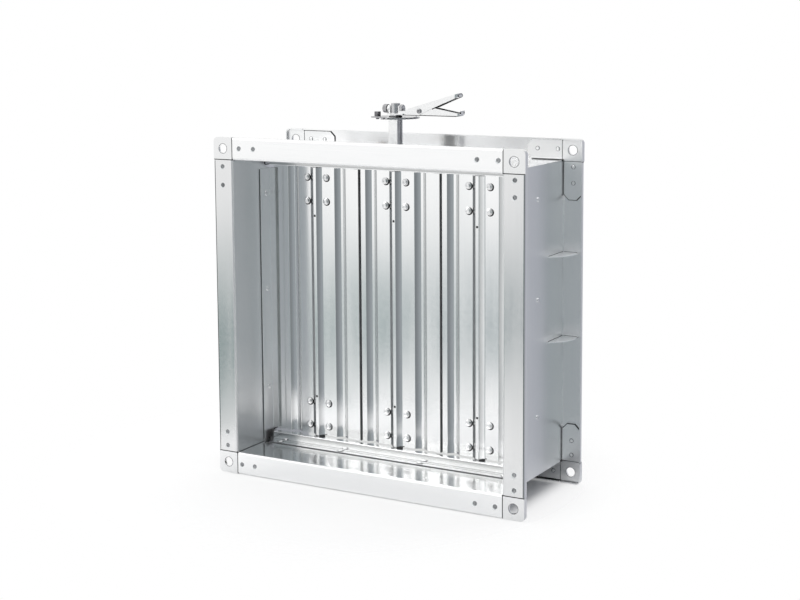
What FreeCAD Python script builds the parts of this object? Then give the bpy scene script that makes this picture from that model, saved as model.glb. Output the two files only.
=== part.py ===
import FreeCAD, Part
import os
import re
import Sketcher

# Isolation damper for a square duct, in millimetres.
# X runs along the width, Y along the air path and away from the viewer, Z up.
# The origin is on the floor, under the middle of the casing.
# Three upright blades turn together about Z, driven by a locking handle on top.

doc = FreeCAD.newDocument("isolation_damper")
sheet = doc.addObject("Spreadsheet::Sheet", "sizes")

# Driving dimensions
SIZES = [
    ("duct_width", 400, "clear width between the side panels"),
    ("duct_height", 400, "clear height between the top and bottom panels"),
    ("casing_length", 180, "face to face along the air path"),
    ("flange", 30, "height of the flange all round"),
    ("panel", 1.5, "sheet of the casing"),
    ("lip", 7, "depth of the lip that stiffens the flange"),
    ("bend", 1.2, "radius inside the casing's folds"),
    ("fold_round", 2.7, "radius outside the casing's folds"),
    ("stop_bend", 1.2, "radius inside a side stop's fold"),
    ("seam", 0.3, "gap at each end of a panel"),
    ("corner_gap", 0.7, "set back of a corner square from the duct's lines"),
    ("corner_leg", 80, "reach of a corner piece from the outer corner"),
    ("corner_round", 6, "outer radius of a corner square"),
    ("leg_slack", 1.3, "room between a corner leg and the channel around it"),
    ("leg_chamfer", 7, "cut at the end of a corner leg"),
    ("bolt_hole", 12.5, "diameter of the flange bolt holes"),
    ("gusset_wall", 50, "gusset's length along the side panel"),
    ("gusset_flange", 21.5, "gusset's length along the flange"),
    ("gusset_high", 80, "upper gusset above the middle"),
    ("gusset_low", 32, "lower gusset below the middle"),
    ("rail", 1.2, "sheet of the stop rails and side stops"),
    ("rail_height", 12.5, "height of a stop rail"),
    ("rail_half", 14.5, "half width of a stop rail's crown"),
    ("rail_foot", 12, "width of each foot of a stop rail"),
    ("rail_end", 8, "gap from a rail's end to the side panel"),
    ("stop_back", 3.8, "side stop's seal face from the axle plane"),
    ("stop_width", 23.4, "side stop's width along the side panel"),
    ("stop_leg", 10, "side stop's reach into the duct"),
    ("stop_low_end", 3.5, "side stop's lower end above the duct floor"),
    ("stop_high_end", 17.5, "side stop's upper end below the duct roof"),
    ("stop_notch", 4, "end of the stop's leg above the rail"),
    ("seal_proud", 0.3, "side seal's reach past the stop's leg"),
    ("seal_wall_gap", 1.4, "side seal's distance from the side panel"),
    ("seat_gap", 0.4, "rest gap between a blade and a side seal"),
    ("wall_room", 14.6, "space that the outer blades leave at each side panel"),
    ("blade_pitch", "=(duct_width - 2 * wall_room) / 3", "distance between the axles"),
    ("lap_left", 8.2, "blade's left edge past the middle between two axles"),
    ("lap_right", 5.2, "blade's right edge past the middle between two axles"),
    ("blade", 1.0, "sheet of a blade"),
    ("blade_front", 2.2, "flat front face ahead of the axle line"),
    ("blade_end", 1.7, "gap between a blade and a stop rail"),
    ("blade_bend", 2.0, "radius of the blade's front folds"),
    ("closed_tilt", 1.4, "degrees that the closed blades lean, so that they lap"),
    ("ridge_base", 9, "half width of the centre ridge at its foot"),
    ("ridge_top", 2.4, "half width of the centre ridge's crown"),
    ("groove_place", 38, "groove's centre from the axle"),
    ("groove_base", 9, "half width of a groove at its mouth"),
    ("groove_floor", 2, "half width of a groove's floor"),
    ("fold_depth", 5, "depth of the ridge and the grooves"),
    ("lap_gap", 0.32, "rest gap between an edge seal and the next blade"),
    ("edge_cover", 8, "edge seal's hold behind the blade's edge"),
    ("edge_proud", 1.0, "edge seal's reach past the blade's edge"),
    ("axle", 6, "radius of the axles"),
    ("axle_fit", 0.05, "running play of an axle in its bush"),
    ("grip_fit", 0.02, "play where a piece is gripped"),
    ("clamp", 2, "sheet of an axle clamp"),
    ("clamp_half", 23, "half width of an axle clamp"),
    ("clamp_fit", 0.1, "room between an axle clamp and the axle"),
    ("clamp_end", 17, "outer end of an axle clamp from the duct's floor or roof"),
    ("clamp_long", 53, "length of an axle clamp"),
    ("screw", 2.4, "half the width of a clamp screw's square neck"),
    ("screw_fit", 0.1, "play around a clamp screw"),
    ("screw_cap", 4.3, "half the width across a clamp screw's head"),
    ("screw_rise", 3.2, "height of a clamp screw's head"),
    ("screw_side", 15.5, "clamp screws from the axle"),
    ("screw_end", 27.5, "outer row of clamp screws from the duct's floor or roof"),
    ("screw_row", 32.5, "distance between two rows of clamp screws"),
    ("nut_flat", 4, "half the width across a clamp nut's flats"),
    ("nut_rise", 4, "height of a clamp nut"),
    ("sight_hole", 1.5, "half the width of the hole that shows the axle's end"),
    ("sight_top", 80, "upper sight hole below the duct's roof"),
    ("sight_low", 69, "lower sight hole above the duct's floor"),
    ("bush", 8, "half the width across a bush's hexagonal body"),
    ("bush_cap", 11, "half the width across a bush's hexagonal collar"),
    ("bush_rise", 2.5, "thickness of a bush's collar"),
    ("bush_out", 2, "bush's reach past the outside of the casing"),
    ("bush_fit", 0.05, "play around a bush in its panel"),
    ("rail_hole", 6.8, "half the width of an axle's hole in a stop rail"),
    ("clip", 9.5, "half the width across an axle clip"),
    ("clip_thick", 1.2, "thickness of an axle clip"),
    ("axle_top", 6.5, "side axle's end above its bush"),
    ("crank_arm", 30, "crank's length between centres"),
    ("crank_angle", 135, "degrees from X to the crank when closed"),
    ("crank_hub", 9, "half the width across a crank's hub"),
    ("axle_key", 4.8, "half the width across an axle's octagonal lower end"),
    ("crank_gap", 0.3, "running gap beside a crank or the tie bar"),
    ("crank_low", 11, "underside of a crank's hub above the floor"),
    ("arm_level", 14, "underside of a crank's arm above the floor"),
    ("arm_thick", 5, "thickness of a crank's arm"),
    ("arm_end", 7, "half width of a crank's arm"),
    ("crank_pin", 3, "radius of a crank pin"),
    ("pin_fit", 0.06, "running play of a pin in its hole"),
    ("pin_cap", 5, "half the width across a crank pin's head"),
    ("pin_rise", 1.8, "height of a crank pin's head"),
    ("bar_thick", 3, "thickness of the tie bar"),
    ("bar_half", 7, "half width of the tie bar"),
    ("stand_height", 54.5, "handle stand above the top panel"),
    ("post_left", 7.2, "stand's closed side from the axle"),
    ("post_right", 6.2, "stand's open side from the axle"),
    ("post_half", 7.2, "half depth of the stand's post"),
    ("post", 1.0, "sheet of the stand's post"),
    ("foot", 2, "sheet of the stand's foot"),
    ("foot_half_x", 30, "half width of the stand's foot"),
    ("foot_half_y", 16, "half depth of the stand's foot"),
    ("foot_round", 5, "corner radius of the stand's foot"),
    ("quadrant", 2, "sheet of the quadrant plate"),
    ("quadrant_edge", 32, "radius of the quadrant plate"),
    ("quadrant_eye", 13, "radius of the plate around the axle"),
    ("quadrant_open", 98, "degrees of the quadrant past the closed line"),
    ("quadrant_past", 8, "degrees of the quadrant behind the closed line"),
    ("notch_deep", 4.5, "depth of a locking notch"),
    ("notch_half", 1.6, "half width of a locking notch"),
    ("lock_span", 88.6, "degrees from the first locking notch to the last"),
    ("ear_reach", 34, "quadrant plate's ear from the axle"),
    ("ear_half", 6, "half width of the ear"),
    ("ear_bolt", 27.5, "bolt in the ear from the axle"),
    ("ear_bolt_flat", 4.2, "half the width across the ear bolt's flats"),
    ("ear_bolt_rise", 6.2, "height of the ear bolt's head"),
    ("plate_hole", 6.6, "half the width of the axle's hole in the quadrant plate"),
    ("spacer_gap", 0.4, "running gap under the handle's spacer"),
    ("spacer", 2.7, "thickness of the handle's spacer"),
    ("spacer_edge", 7.4, "half the width across the handle's spacer"),
    ("tongue", 1.6, "sheet of the lever's tongue"),
    ("tongue_half", 9, "half width of the lever's tongue"),
    ("hub_half", 8, "half width of the hub"),
    ("hub_front", 4, "hub's open front from the axle"),
    ("hub_rear", 9, "hub's back from the axle"),
    ("hub_height", 10, "height of the hub"),
    ("hub_bolt_high", 5.9, "clamp bolt above the hub's underside"),
    ("hub_bolt", 2.9, "half the width across the clamp bolt's shank"),
    ("hub_bolt_fit", 0.1, "play around the clamp bolt"),
    ("hub_washer", 3, "collar between the hub and the clamp bolt's head"),
    ("bolt_flat", 5, "half the width across the clamp bolt's flats"),
    ("bolt_head", 6.5, "height of the clamp bolt's head"),
    ("bolt_nut", 4, "height of the clamp bolt's nut"),
    ("drive_top", 3, "drive axle's end above the hub"),
    ("lever_end", 99, "lever's tip from the axle"),
    ("lever_half", 7, "half width of the lever"),
    ("lever_wall", 1.2, "sheet of the lever and the trigger"),
    ("lever_hub_gap", 0.4, "gap between the hub and the lever's sides"),
    ("lever_inner", 4.6, "depth of the lever's sides at the hub"),
    ("lever_deep", 9.7, "depth of the lever's sides at their deepest"),
    ("lever_tip", 2.6, "depth of the lever's sides at the tip"),
    ("lever_taper", 62, "start of the lever's taper from the axle"),
    ("lever_rise", 0.6, "rise of the lever's floor at the tip"),
    ("tip_round", 4.9, "corner radius of the lever's and trigger's tips"),
    ("pivot_x", 40, "trigger's pivot from the axle"),
    ("pivot_z", 8.7, "trigger's pivot above the quadrant plate"),
    ("pivot_pin", 2, "radius of the trigger's pin"),
    ("pivot_cap", 3.3, "half the width across the trigger pin's heads"),
    ("pivot_rise", 1.3, "height of the trigger pin's heads"),
    ("trigger_gap", 0.3, "running gap beside the trigger's walls"),
    ("trigger_start", 20, "trigger's inner end from the axle"),
    ("trigger_low", 3.4, "underside of the trigger's inner end above the plate"),
    ("trigger_high", 10.4, "top of the trigger's inner end above the plate"),
    ("trigger_end", 96, "trigger's tip from the axle"),
    ("trigger_end_high", 32.6, "top of the trigger's tip above the plate"),
    ("trigger_end_deep", 4.5, "depth of the trigger's tip"),
    ("trigger_knee_x", 57, "where the trigger's sides narrow"),
    ("trigger_knee_deep", 9.5, "depth of the trigger's sides past the knee"),
    ("spring", 3.3, "half the width across the trigger's spring"),
    ("spring_hole", 2.3, "half the width of the trigger spring's opening"),
    ("spring_half", 3.5, "half length of the spring's coil"),
    ("spring_wire", 0.9, "thickness of the spring's wire"),
    ("spring_leg", 13, "length of the spring's legs"),
    ("pawl", 1.3, "half width of the locking pawl"),
    ("pawl_gap", 0.3, "pawl's rest gap above the quadrant plate"),
]

NAMES = {name for name, value, note in SIZES}
for row_number, (name, value, note) in enumerate(SIZES, 1):
    sheet.set("A%d" % row_number, name)
    sheet.set("B%d" % row_number, str(value))
    sheet.set("C%d" % row_number, note)
    sheet.setAlias("B%d" % row_number, name)
doc.recompute()

# Places that several pieces share, as formulas on the sizes
MIDDLE = "(flange + duct_height / 2)"
HALF_LENGTH = "(casing_length / 2)"
OUTER_X = "(duct_width / 2 + flange)"
OUTER_Z = "(duct_height / 2 + flange)"
BLADE_LOW = "(flange + rail_height + blade_end)"
BLADE_TALL = "(duct_height - 2 * (rail_height + blade_end))"
BLADE_BACK = "(blade - blade_front)"
BLADE_LEFT = "(blade_pitch / 2 + lap_left)"
BLADE_RIGHT = "(blade_pitch / 2 + lap_right)"
LEAN = "sin(closed_tilt * 1 deg)"
SIGHT_TOP = "(flange + duct_height - sight_top)"
SIGHT_LOW = "(flange + sight_low)"
EDGE_SEAL = "(blade_pitch * %s - blade - lap_gap)" % LEAN
ROOF_TOP = "(flange + duct_height + panel)"
BUSH_TOP = "(%s + bush_out)" % ROOF_TOP
PLATE_LOW = "(%s + stand_height)" % ROOF_TOP
PLATE_TOP = "(%s + quadrant)" % PLATE_LOW
SPACER_LOW = "(%s + spacer_gap)" % PLATE_TOP
TONGUE_LOW = "(%s + spacer)" % SPACER_LOW
HUB_LOW = "(%s + tongue)" % TONGUE_LOW
HUB_TOP = "(%s + hub_height)" % HUB_LOW
HUB_BOLT = "(%s + hub_bolt_high)" % HUB_LOW
PAWL = "(quadrant_edge - notch_deep / 2)"
CRANK_TOP = "(flange - panel - bush_out - crank_gap)"
BAR_TOP = "(arm_level - crank_gap)"
TRIGGER_HALF = "(lever_half + trigger_gap + lever_wall)"
NOTCHES = 9
RANKS = (("left", -1), ("centre", 0), ("right", 1))

# Each drawing plane: its role in a body, and the sign of its normal along the world's axis.
# Pads and cuts start at a level and go up from the floor plane, towards the viewer from
# the front plane, and to the right from the side plane.
PLANES = {"floor": ("XY_Plane", 1), "front": ("XZ_Plane", -1), "side": ("YZ_Plane", 1)}

parts = []


def bound(formula):
    """Point every size named in a formula at its cell in the sheet."""
    return re.sub(r"[a-z_]+", lambda word: "sizes." + word.group() if word.group() in NAMES else word.group(), formula)


def number(formula):
    """Work out a formula's present value."""
    return float(sheet.evalExpression(bound(formula)))


def new_body(label):
    """Start a sub-part as an empty body."""
    body = doc.addObject("PartDesign::Body", label)
    body.Label = label
    parts.append(body)
    return body


def new_sketch(body, plane, level):
    """Lay an empty sketch parallel to one of the body's own planes."""
    role, sign = PLANES[plane]
    support = [feature for feature in body.Origin.OriginFeatures if feature.Role == role][0]
    sketch = body.newObject("Sketcher::SketchObject", body.Label + "_sketch")
    sketch.AttachmentSupport = [(support, "")]
    sketch.MapMode = "FlatFace"
    sketch.setExpression("AttachmentOffset.Base.z", bound("%d * (%s)" % (sign, level)))
    return sketch


def pin_point(sketch, geometry, point, place):
    """Tie a point of the sketch to two formulas."""
    for kind, formula, axis in (("DistanceX", place[0], -2), ("DistanceY", place[1], -1)):
        distance = number(formula)
        if formula == "0":
            sketch.addConstraint(Sketcher.Constraint("PointOnObject", geometry, point, axis))
        else:
            index = sketch.addConstraint(Sketcher.Constraint(kind, -1, 1, geometry, point, distance))
            sketch.setExpression("Constraints[%d]" % index, bound(formula))


def draw_outline(sketch, corners):
    """Draw a closed outline through corners given as pairs of formulas."""
    spots = [FreeCAD.Vector(number(x), number(y), 0) for x, y in corners]
    first = sketch.GeometryCount
    count = len(corners)
    for index in range(count):
        sketch.addGeometry(Part.LineSegment(spots[index], spots[(index + 1) % count]), False)
    for index in range(count):
        following = first + (index + 1) % count
        sketch.addConstraint(Sketcher.Constraint("Coincident", first + index, 2, following, 1))
    for index in range(count):
        pin_point(sketch, first + index, 1, corners[index])


def draw_circles(sketch, centres, radius):
    """Draw circles of one radius at pairs of formulas."""
    for x, y in centres:
        circle = Part.Circle(FreeCAD.Vector(number(x), number(y), 0), FreeCAD.Vector(0, 0, 1), number(radius))
        geometry = sketch.addGeometry(circle, False)
        pin_point(sketch, geometry, 3, (x, y))
        index = sketch.addConstraint(Sketcher.Constraint("Radius", geometry, number(radius)))
        sketch.setExpression("Constraints[%d]" % index, bound(radius))


def hexagon(x, y, flat):
    """Corners of a hexagon with two corners along the sketch's first direction."""
    flat = "(%s)" % flat
    point = flat + " / cos(30 deg)"
    half = flat + " * tan(30 deg)"
    return [("%s + %s" % (x, point), y), ("%s + %s" % (x, half), "%s + %s" % (y, flat)),
            ("%s - %s" % (x, half), "%s + %s" % (y, flat)), ("%s - %s" % (x, point), y),
            ("%s - %s" % (x, half), "%s - %s" % (y, flat)), ("%s + %s" % (x, half), "%s - %s" % (y, flat))]


def octagon(x, y, flat):
    """Corners of an octagon."""
    flat = "(%s)" % flat
    near = flat + " * tan(22.5 deg)"
    steps = [(flat, near), (near, flat), ("-" + near, flat), ("-" + flat, near), ("-" + flat, "-" + near),
             ("-" + near, "-" + flat), (near, "-" + flat), (flat, "-" + near)]
    return [("%s + %s" % (x, across), "%s + %s" % (y, along)) for across, along in steps]


def draw_hexagons(sketch, centres, flat):
    """Draw hexagons at pairs of formulas."""
    for x, y in centres:
        draw_outline(sketch, hexagon(x, y, flat))


def square(x, y, half):
    """Corners of a square."""
    half = "(%s)" % half
    return box_corners("%s - %s" % (x, half), "%s + %s" % (x, half), "%s - %s" % (y, half), "%s + %s" % (y, half))


def draw_octagons(sketch, centres, flat):
    """Draw octagons at pairs of formulas."""
    for x, y in centres:
        draw_outline(sketch, octagon(x, y, flat))


def pad(body, sketch, thickness):
    """Raise a sketch into the body."""
    feature = body.newObject("PartDesign::Pad", body.Label + "_pad")
    feature.Profile = sketch
    feature.setExpression("Length", bound(thickness))
    doc.recompute()
    return feature


def pocket(body, sketch, depth):
    """Cut a sketch out of the body, in the direction that its plane faces."""
    before = body.Tip.Shape.Volume
    feature = body.newObject("PartDesign::Pocket", body.Label + "_pocket")
    feature.Profile = sketch
    feature.setExpression("Length", bound(depth))
    feature.Reversed = True
    doc.recompute()
    if not feature.Shape.Volume < before:
        raise RuntimeError("%s: a pocket cuts nothing" % body.Label)
    return feature


def slab(body, plane, level, thickness, *outlines):
    """Add flat pieces of one thickness."""
    sketch = new_sketch(body, plane, level)
    for corners in outlines:
        draw_outline(sketch, corners)
    return pad(body, sketch, thickness)


def discs(body, plane, level, thickness, centres, radius):
    """Add round pieces of one thickness."""
    sketch = new_sketch(body, plane, level)
    draw_circles(sketch, centres, radius)
    return pad(body, sketch, thickness)


def hexagons(body, plane, level, thickness, centres, flat, hole=None):
    """Add hexagonal pieces of one thickness, each with a hexagonal hole if one is named."""
    sketch = new_sketch(body, plane, level)
    draw_hexagons(sketch, centres, flat)
    if hole:
        draw_hexagons(sketch, centres, hole)
    return pad(body, sketch, thickness)


def cut(body, plane, level, depth, *outlines):
    """Remove flat-sided openings."""
    sketch = new_sketch(body, plane, level)
    for corners in outlines:
        draw_outline(sketch, corners)
    return pocket(body, sketch, depth)


def bore(body, plane, level, depth, centres, radius):
    """Remove round holes."""
    sketch = new_sketch(body, plane, level)
    draw_circles(sketch, centres, radius)
    return pocket(body, sketch, depth)


def hex_bore(body, plane, level, depth, centres, flat):
    """Remove hexagonal holes."""
    sketch = new_sketch(body, plane, level)
    draw_hexagons(sketch, centres, flat)
    return pocket(body, sketch, depth)


def octagons(body, plane, level, thickness, centres, flat):
    """Add octagonal pieces of one thickness."""
    sketch = new_sketch(body, plane, level)
    draw_octagons(sketch, centres, flat)
    return pad(body, sketch, thickness)


def oct_bore(body, plane, level, depth, centres, flat):
    """Remove octagonal holes."""
    sketch = new_sketch(body, plane, level)
    draw_octagons(sketch, centres, flat)
    return pocket(body, sketch, depth)


def box_corners(x_low, x_high, y_low, y_high):
    """Corners of an upright rectangle."""
    return [(x_low, y_low), (x_high, y_low), (x_high, y_high), (x_low, y_high)]


def straight_edges(shape, axis, places):
    """Name the edges that run along an axis through the given pairs of places."""
    others = [index for index in range(3) if index != axis]
    wanted = [(number(first), number(second)) for first, second in places]
    names = []
    for index, edge in enumerate(shape.Edges, 1):
        if edge.Curve.TypeId != "Part::GeomLine":
            continue
        start, end = edge.Vertexes[0].Point, edge.Vertexes[-1].Point
        middle = (start + end) * 0.5
        along = abs((end - start)[axis]) > 0.999 * edge.Length
        near = any(abs(middle[others[0]] - first) < 0.001 and abs(middle[others[1]] - second) < 0.001
                   for first, second in wanted)
        if along and near:
            names.append("Edge%d" % index)
    return names


def round_off(body, size, edges):
    """Round edges of the body's last feature."""
    if not edges:
        raise RuntimeError("%s: no edges to round" % body.Label)
    base = body.Tip
    feature = body.newObject("PartDesign::Fillet", body.Label + "_fillet")
    feature.Base = (base, edges)
    feature.setExpression("Radius", bound(size))
    doc.recompute()
    return feature


def place_on_axle(body, rank):
    """Move a piece drawn around an upright axle to its blade, with the closed lean."""
    body.Placement = FreeCAD.Placement(
        FreeCAD.Vector(0, 0, 0), FreeCAD.Rotation(FreeCAD.Vector(0, 0, -1), number("closed_tilt")))
    body.setExpression("Placement.Base.x", bound("%d * blade_pitch" % rank))
    body.setExpression("Placement.Rotation.Angle", bound("closed_tilt * 1 deg"))


# Casing panels
def channel_section(near, far):
    """Lipped channel in width and length: near is the duct's face, far is the flange's edge."""
    side = "(%s - %s) / abs(%s - %s)" % (far, near, far, near)
    web = "%s + %s * panel" % (near, side)
    fold = "%s - %s * panel" % (far, side)
    front = "-" + HALF_LENGTH
    back = HALF_LENGTH
    return [(front, near), (front, far), (front + " + lip", far), (front + " + lip", fold),
            (front + " + panel", fold), (front + " + panel", web), (back + " - panel", web),
            (back + " - panel", fold), (back + " - lip", fold), (back + " - lip", far), (back, far), (back, near)]


def make_level_panel(label, sign):
    """Top or bottom panel, with its hexagonal bush holes."""
    body = new_body(label)
    near = "%s + %d * duct_height / 2" % (MIDDLE, sign)
    far = "%s + %d * %s" % (MIDDLE, sign, OUTER_Z)
    slab(body, "side", "seam - duct_width / 2", "duct_width - 2 * seam", channel_section(near, far))
    web = "%s + %d * panel" % (near, sign)
    folds = [("%s * %s" % (end, HALF_LENGTH), level) for end in ("-1", "1") for level in (near, far)]
    inner = [("%s * (%s - panel)" % (end, HALF_LENGTH), web) for end in ("-1", "1")]
    round_off(body, "fold_round", straight_edges(body.Tip.Shape, 0, folds))
    round_off(body, "bend", straight_edges(body.Tip.Shape, 0, inner))
    low = "%s + %d * duct_height / 2 - 2 * panel" % (MIDDLE, sign)
    axles = [("%d * blade_pitch" % rank, "0") for name, rank in RANKS]
    hex_bore(body, "floor", low, "4 * panel", axles, "bush + bush_fit")
    return body


def make_side_panel(label, sign):
    """Left or right panel: its web laps the ends of the top and bottom panels."""
    body = new_body(label)
    near = "%d * duct_width / 2" % sign
    far = "%d * %s" % (sign, OUTER_X)
    section = [(across, along) for along, across in channel_section(near, far)]
    slab(body, "floor", "flange + seam", "duct_height - 2 * seam", section)
    web = "%d * (duct_width / 2 + panel)" % sign
    folds = [(across, "%s * %s" % (end, HALF_LENGTH)) for end in ("-1", "1") for across in (near, far)]
    inner = [(web, "%s * (%s - panel)" % (end, HALF_LENGTH)) for end in ("-1", "1")]
    round_off(body, "fold_round", straight_edges(body.Tip.Shape, 2, folds))
    round_off(body, "bend", straight_edges(body.Tip.Shape, 2, inner))
    strip = box_corners(near, web, "lip - " + HALF_LENGTH, HALF_LENGTH + " - lip")
    slab(body, "floor", "flange - panel", "panel + seam", strip)
    slab(body, "floor", "flange + duct_height - seam", "panel + seam", strip)
    return body


def make_corner(label, end, side, height):
    """Corner piece: a square flush with the flange face, a skirt, and two legs in the channels."""
    body = new_body(label)
    sign = "%d * " % side
    up = "%s + %d * " % (MIDDLE, height)
    inner_x = sign + "(duct_width / 2 + corner_gap)"
    inner_z = up + "(duct_height / 2 + corner_gap)"
    outer_x = sign + OUTER_X
    outer_z = up + OUTER_Z
    back = "lip - " + HALF_LENGTH if end < 0 else HALF_LENGTH
    slab(body, "front", back, "lip", box_corners(inner_x, outer_x, inner_z, outer_z))
    round_off(body, "corner_round", straight_edges(body.Tip.Shape, 1, [(outer_x, outer_z)]))
    hollow_corner(body, end, number(inner_x), number(inner_z))
    channel_x = [sign + "(duct_width / 2 + panel + leg_slack)", sign + "(%s - panel - leg_slack)" % OUTER_X]
    channel_z = [up + "(duct_height / 2 + panel + leg_slack)", up + "(%s - panel - leg_slack)" % OUTER_Z]
    end_x = [sign + "(%s - corner_leg)" % OUTER_X, sign + "(%s - corner_leg + leg_chamfer)" % OUTER_X]
    end_z = [up + "(%s - corner_leg)" % OUTER_Z, up + "(%s - corner_leg + leg_chamfer)" % OUTER_Z]
    trim = "%d * leg_chamfer" % side
    rise = "%d * leg_chamfer" % height
    legs = [(end_x[0], channel_z[0] + " + " + rise), (end_x[0], channel_z[1] + " - " + rise),
            (end_x[1], channel_z[1]), (channel_x[1], channel_z[1]), (channel_x[1], end_z[1]),
            (channel_x[1] + " - " + trim, end_z[0]), (channel_x[0] + " + " + trim, end_z[0]),
            (channel_x[0], end_z[1]), (channel_x[0], channel_z[0]), (end_x[1], channel_z[0])]
    legs_back = "2 * panel - " + HALF_LENGTH if end < 0 else HALF_LENGTH + " - panel"
    slab(body, "front", legs_back, "panel", legs)
    hole = (sign + "(duct_width / 2 + flange / 2)", up + "(duct_height / 2 + flange / 2)")
    bore(body, "front", back, "lip", [hole], "bolt_hole / 2")
    return body


def hollow_corner(body, end, inner_x, inner_z):
    """Shell the corner block: open at its back and towards the two panels."""
    open_back = number("lip - " + HALF_LENGTH) if end < 0 else number(HALF_LENGTH + " - lip")
    faces = []
    for index, face in enumerate(body.Tip.Shape.Faces, 1):
        centre = face.CenterOfMass
        flat_x = face.BoundBox.XLength < 0.001 and abs(centre.x - inner_x) < 0.001
        flat_y = face.BoundBox.YLength < 0.001 and abs(centre.y - open_back) < 0.001
        flat_z = face.BoundBox.ZLength < 0.001 and abs(centre.z - inner_z) < 0.001
        if flat_x or flat_y or flat_z:
            faces.append("Face%d" % index)
    base = body.Tip
    shell = body.newObject("PartDesign::Thickness", body.Label + "_shell")
    shell.Base = (base, faces)
    shell.setExpression("Value", bound("panel"))
    shell.Reversed = True
    doc.recompute()


def make_gussets(label, side):
    """Two flat ribs between a side panel and the rear flange, with a bulging free edge."""
    body = new_body(label)
    wall = "%d * (duct_width / 2 + panel)" % side
    off_wall = "%d * (duct_width / 2 + panel + 1.1 * bend)" % side
    tip = "%d * (duct_width / 2 + panel + gusset_flange)" % side
    rear = HALF_LENGTH + " - panel"
    start = "%s - gusset_wall" % rear
    corners = [(wall, start), (wall, rear + " - 1.1 * bend"), (off_wall, rear), (tip, rear)]
    for level in ("gusset_high", "-gusset_low"):
        sketch = new_sketch(body, "floor", "%s + %s - panel / 2" % (MIDDLE, level))
        spots = [FreeCAD.Vector(number(x), number(y), 0) for x, y in corners]
        outward = (spots[0] + spots[3]) * 0.5 - FreeCAD.Vector(number(wall), number(rear), 0)
        bulge = FreeCAD.Vector(-side * outward.y, -side * outward.x, 0) * 0.3
        spots.append((spots[0] + spots[3]) * 0.5 + bulge)
        for index in range(3):
            sketch.addGeometry(Part.LineSegment(spots[index], spots[index + 1]), False)
        first, last = (0, 3) if side > 0 else (3, 0)
        sketch.addGeometry(Part.Arc(spots[first], spots[4], spots[last]), False)
        sketch.addConstraint(Sketcher.Constraint("Coincident", 0, 2, 1, 1))
        sketch.addConstraint(Sketcher.Constraint("Coincident", 1, 2, 2, 1))
        sketch.addConstraint(Sketcher.Constraint("Coincident", 2, 2, 3, 2 if side > 0 else 1))
        sketch.addConstraint(Sketcher.Constraint("Coincident", 3, 1 if side > 0 else 2, 0, 1))
        for index in range(3):
            pin_point(sketch, index, 1, corners[index])
        pin_point(sketch, 2, 2, corners[3])
        radius = "sqrt(gusset_wall * gusset_wall + gusset_flange * gusset_flange) * 0.9"
        index = sketch.addConstraint(Sketcher.Constraint("Radius", 3, number(radius)))
        sketch.setExpression("Constraints[%d]" % index, bound(radius))
        pad(body, sketch, "panel")
    return body


# Stops and seals
def make_rail(label, sign):
    """Hat-shaped rail across the ends of the blades, with its crown towards them."""
    body = new_body(label)
    seat = "%s + %d * duct_height / 2" % (MIDDLE, sign)
    foot = "%s - %d * rail" % (seat, sign)
    crown = "%s - %d * rail_height" % (seat, sign)
    under = "%s + %d * rail" % (crown, sign)
    toe = "(rail_half + rail_foot)"
    inside = "(rail_half - rail)"
    section = [("-" + toe, seat), ("-" + toe, foot), ("-rail_half", foot), ("-rail_half", crown),
               ("rail_half", crown), ("rail_half", foot), (toe, foot), (toe, seat), (inside, seat),
               (inside, under), ("-" + inside, under), ("-" + inside, seat)]
    slab(body, "side", "rail_end - duct_width / 2", "duct_width - 2 * rail_end", section)
    round_off(body, "rail * 0.8", straight_edges(body.Tip.Shape, 0, [("-rail_half", crown), ("rail_half", crown)]))
    low = "%s - 1.5 * rail" % crown
    axles = [("%d * blade_pitch" % rank, "0") for name, rank in RANKS]
    hex_bore(body, "floor", low, "3 * rail", axles, "rail_hole")
    return body


def make_side_stop(label, sign):
    """Angle on a side panel that the outer blade's edge closes against."""
    body = new_body(label)
    wall = "%d * duct_width / 2" % sign
    plate = "%d * (duct_width / 2 - rail)" % sign
    edge = "%d * (duct_width / 2 - stop_leg)" % sign
    seat = "%d * stop_back" % sign
    leg = "%d * (stop_back + rail)" % sign
    toe = "%d * (stop_back + stop_width)" % sign
    section = [(wall, toe), (plate, toe), (plate, leg), (edge, leg), (edge, seat), (wall, seat)]
    low = "(flange + stop_low_end)"
    top = "(flange + duct_height - stop_high_end)"
    slab(body, "floor", low, "%s - %s" % (top, low), section)
    round_off(body, "stop_bend", straight_edges(body.Tip.Shape, 2, [(plate, leg)]))
    over = "%d * (stop_back - rail)" % sign
    beyond = "%d * (stop_back + 2 * rail)" % sign
    notch = box_corners(plate, "%d * (duct_width / 2 - 2 * stop_leg)" % sign, over, beyond)
    cut(body, "floor", low, "rail_height + stop_notch - stop_low_end", notch)
    return body


def make_side_seal(label, sign):
    """Soft strip on a side stop: the closed blade rests just off it."""
    body = new_body(label)
    outer = "%d * (duct_width / 2 - seal_wall_gap)" % sign
    inner = "%d * (duct_width / 2 - stop_leg - seal_proud)" % sign
    seat = "%d * stop_back" % sign
    if sign < 0:
        face = "%s * %s - blade_front - seat_gap" % (BLADE_LEFT, LEAN)
    else:
        face = "%s + seat_gap - blade_front + blade - %s * %s" % (EDGE_SEAL, BLADE_RIGHT, LEAN)
    low = "(flange + rail_height + stop_notch)"
    tall = "duct_height - stop_high_end - rail_height - stop_notch"
    slab(body, "floor", low, tall, box_corners(outer, inner, seat, face))
    return body


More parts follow.
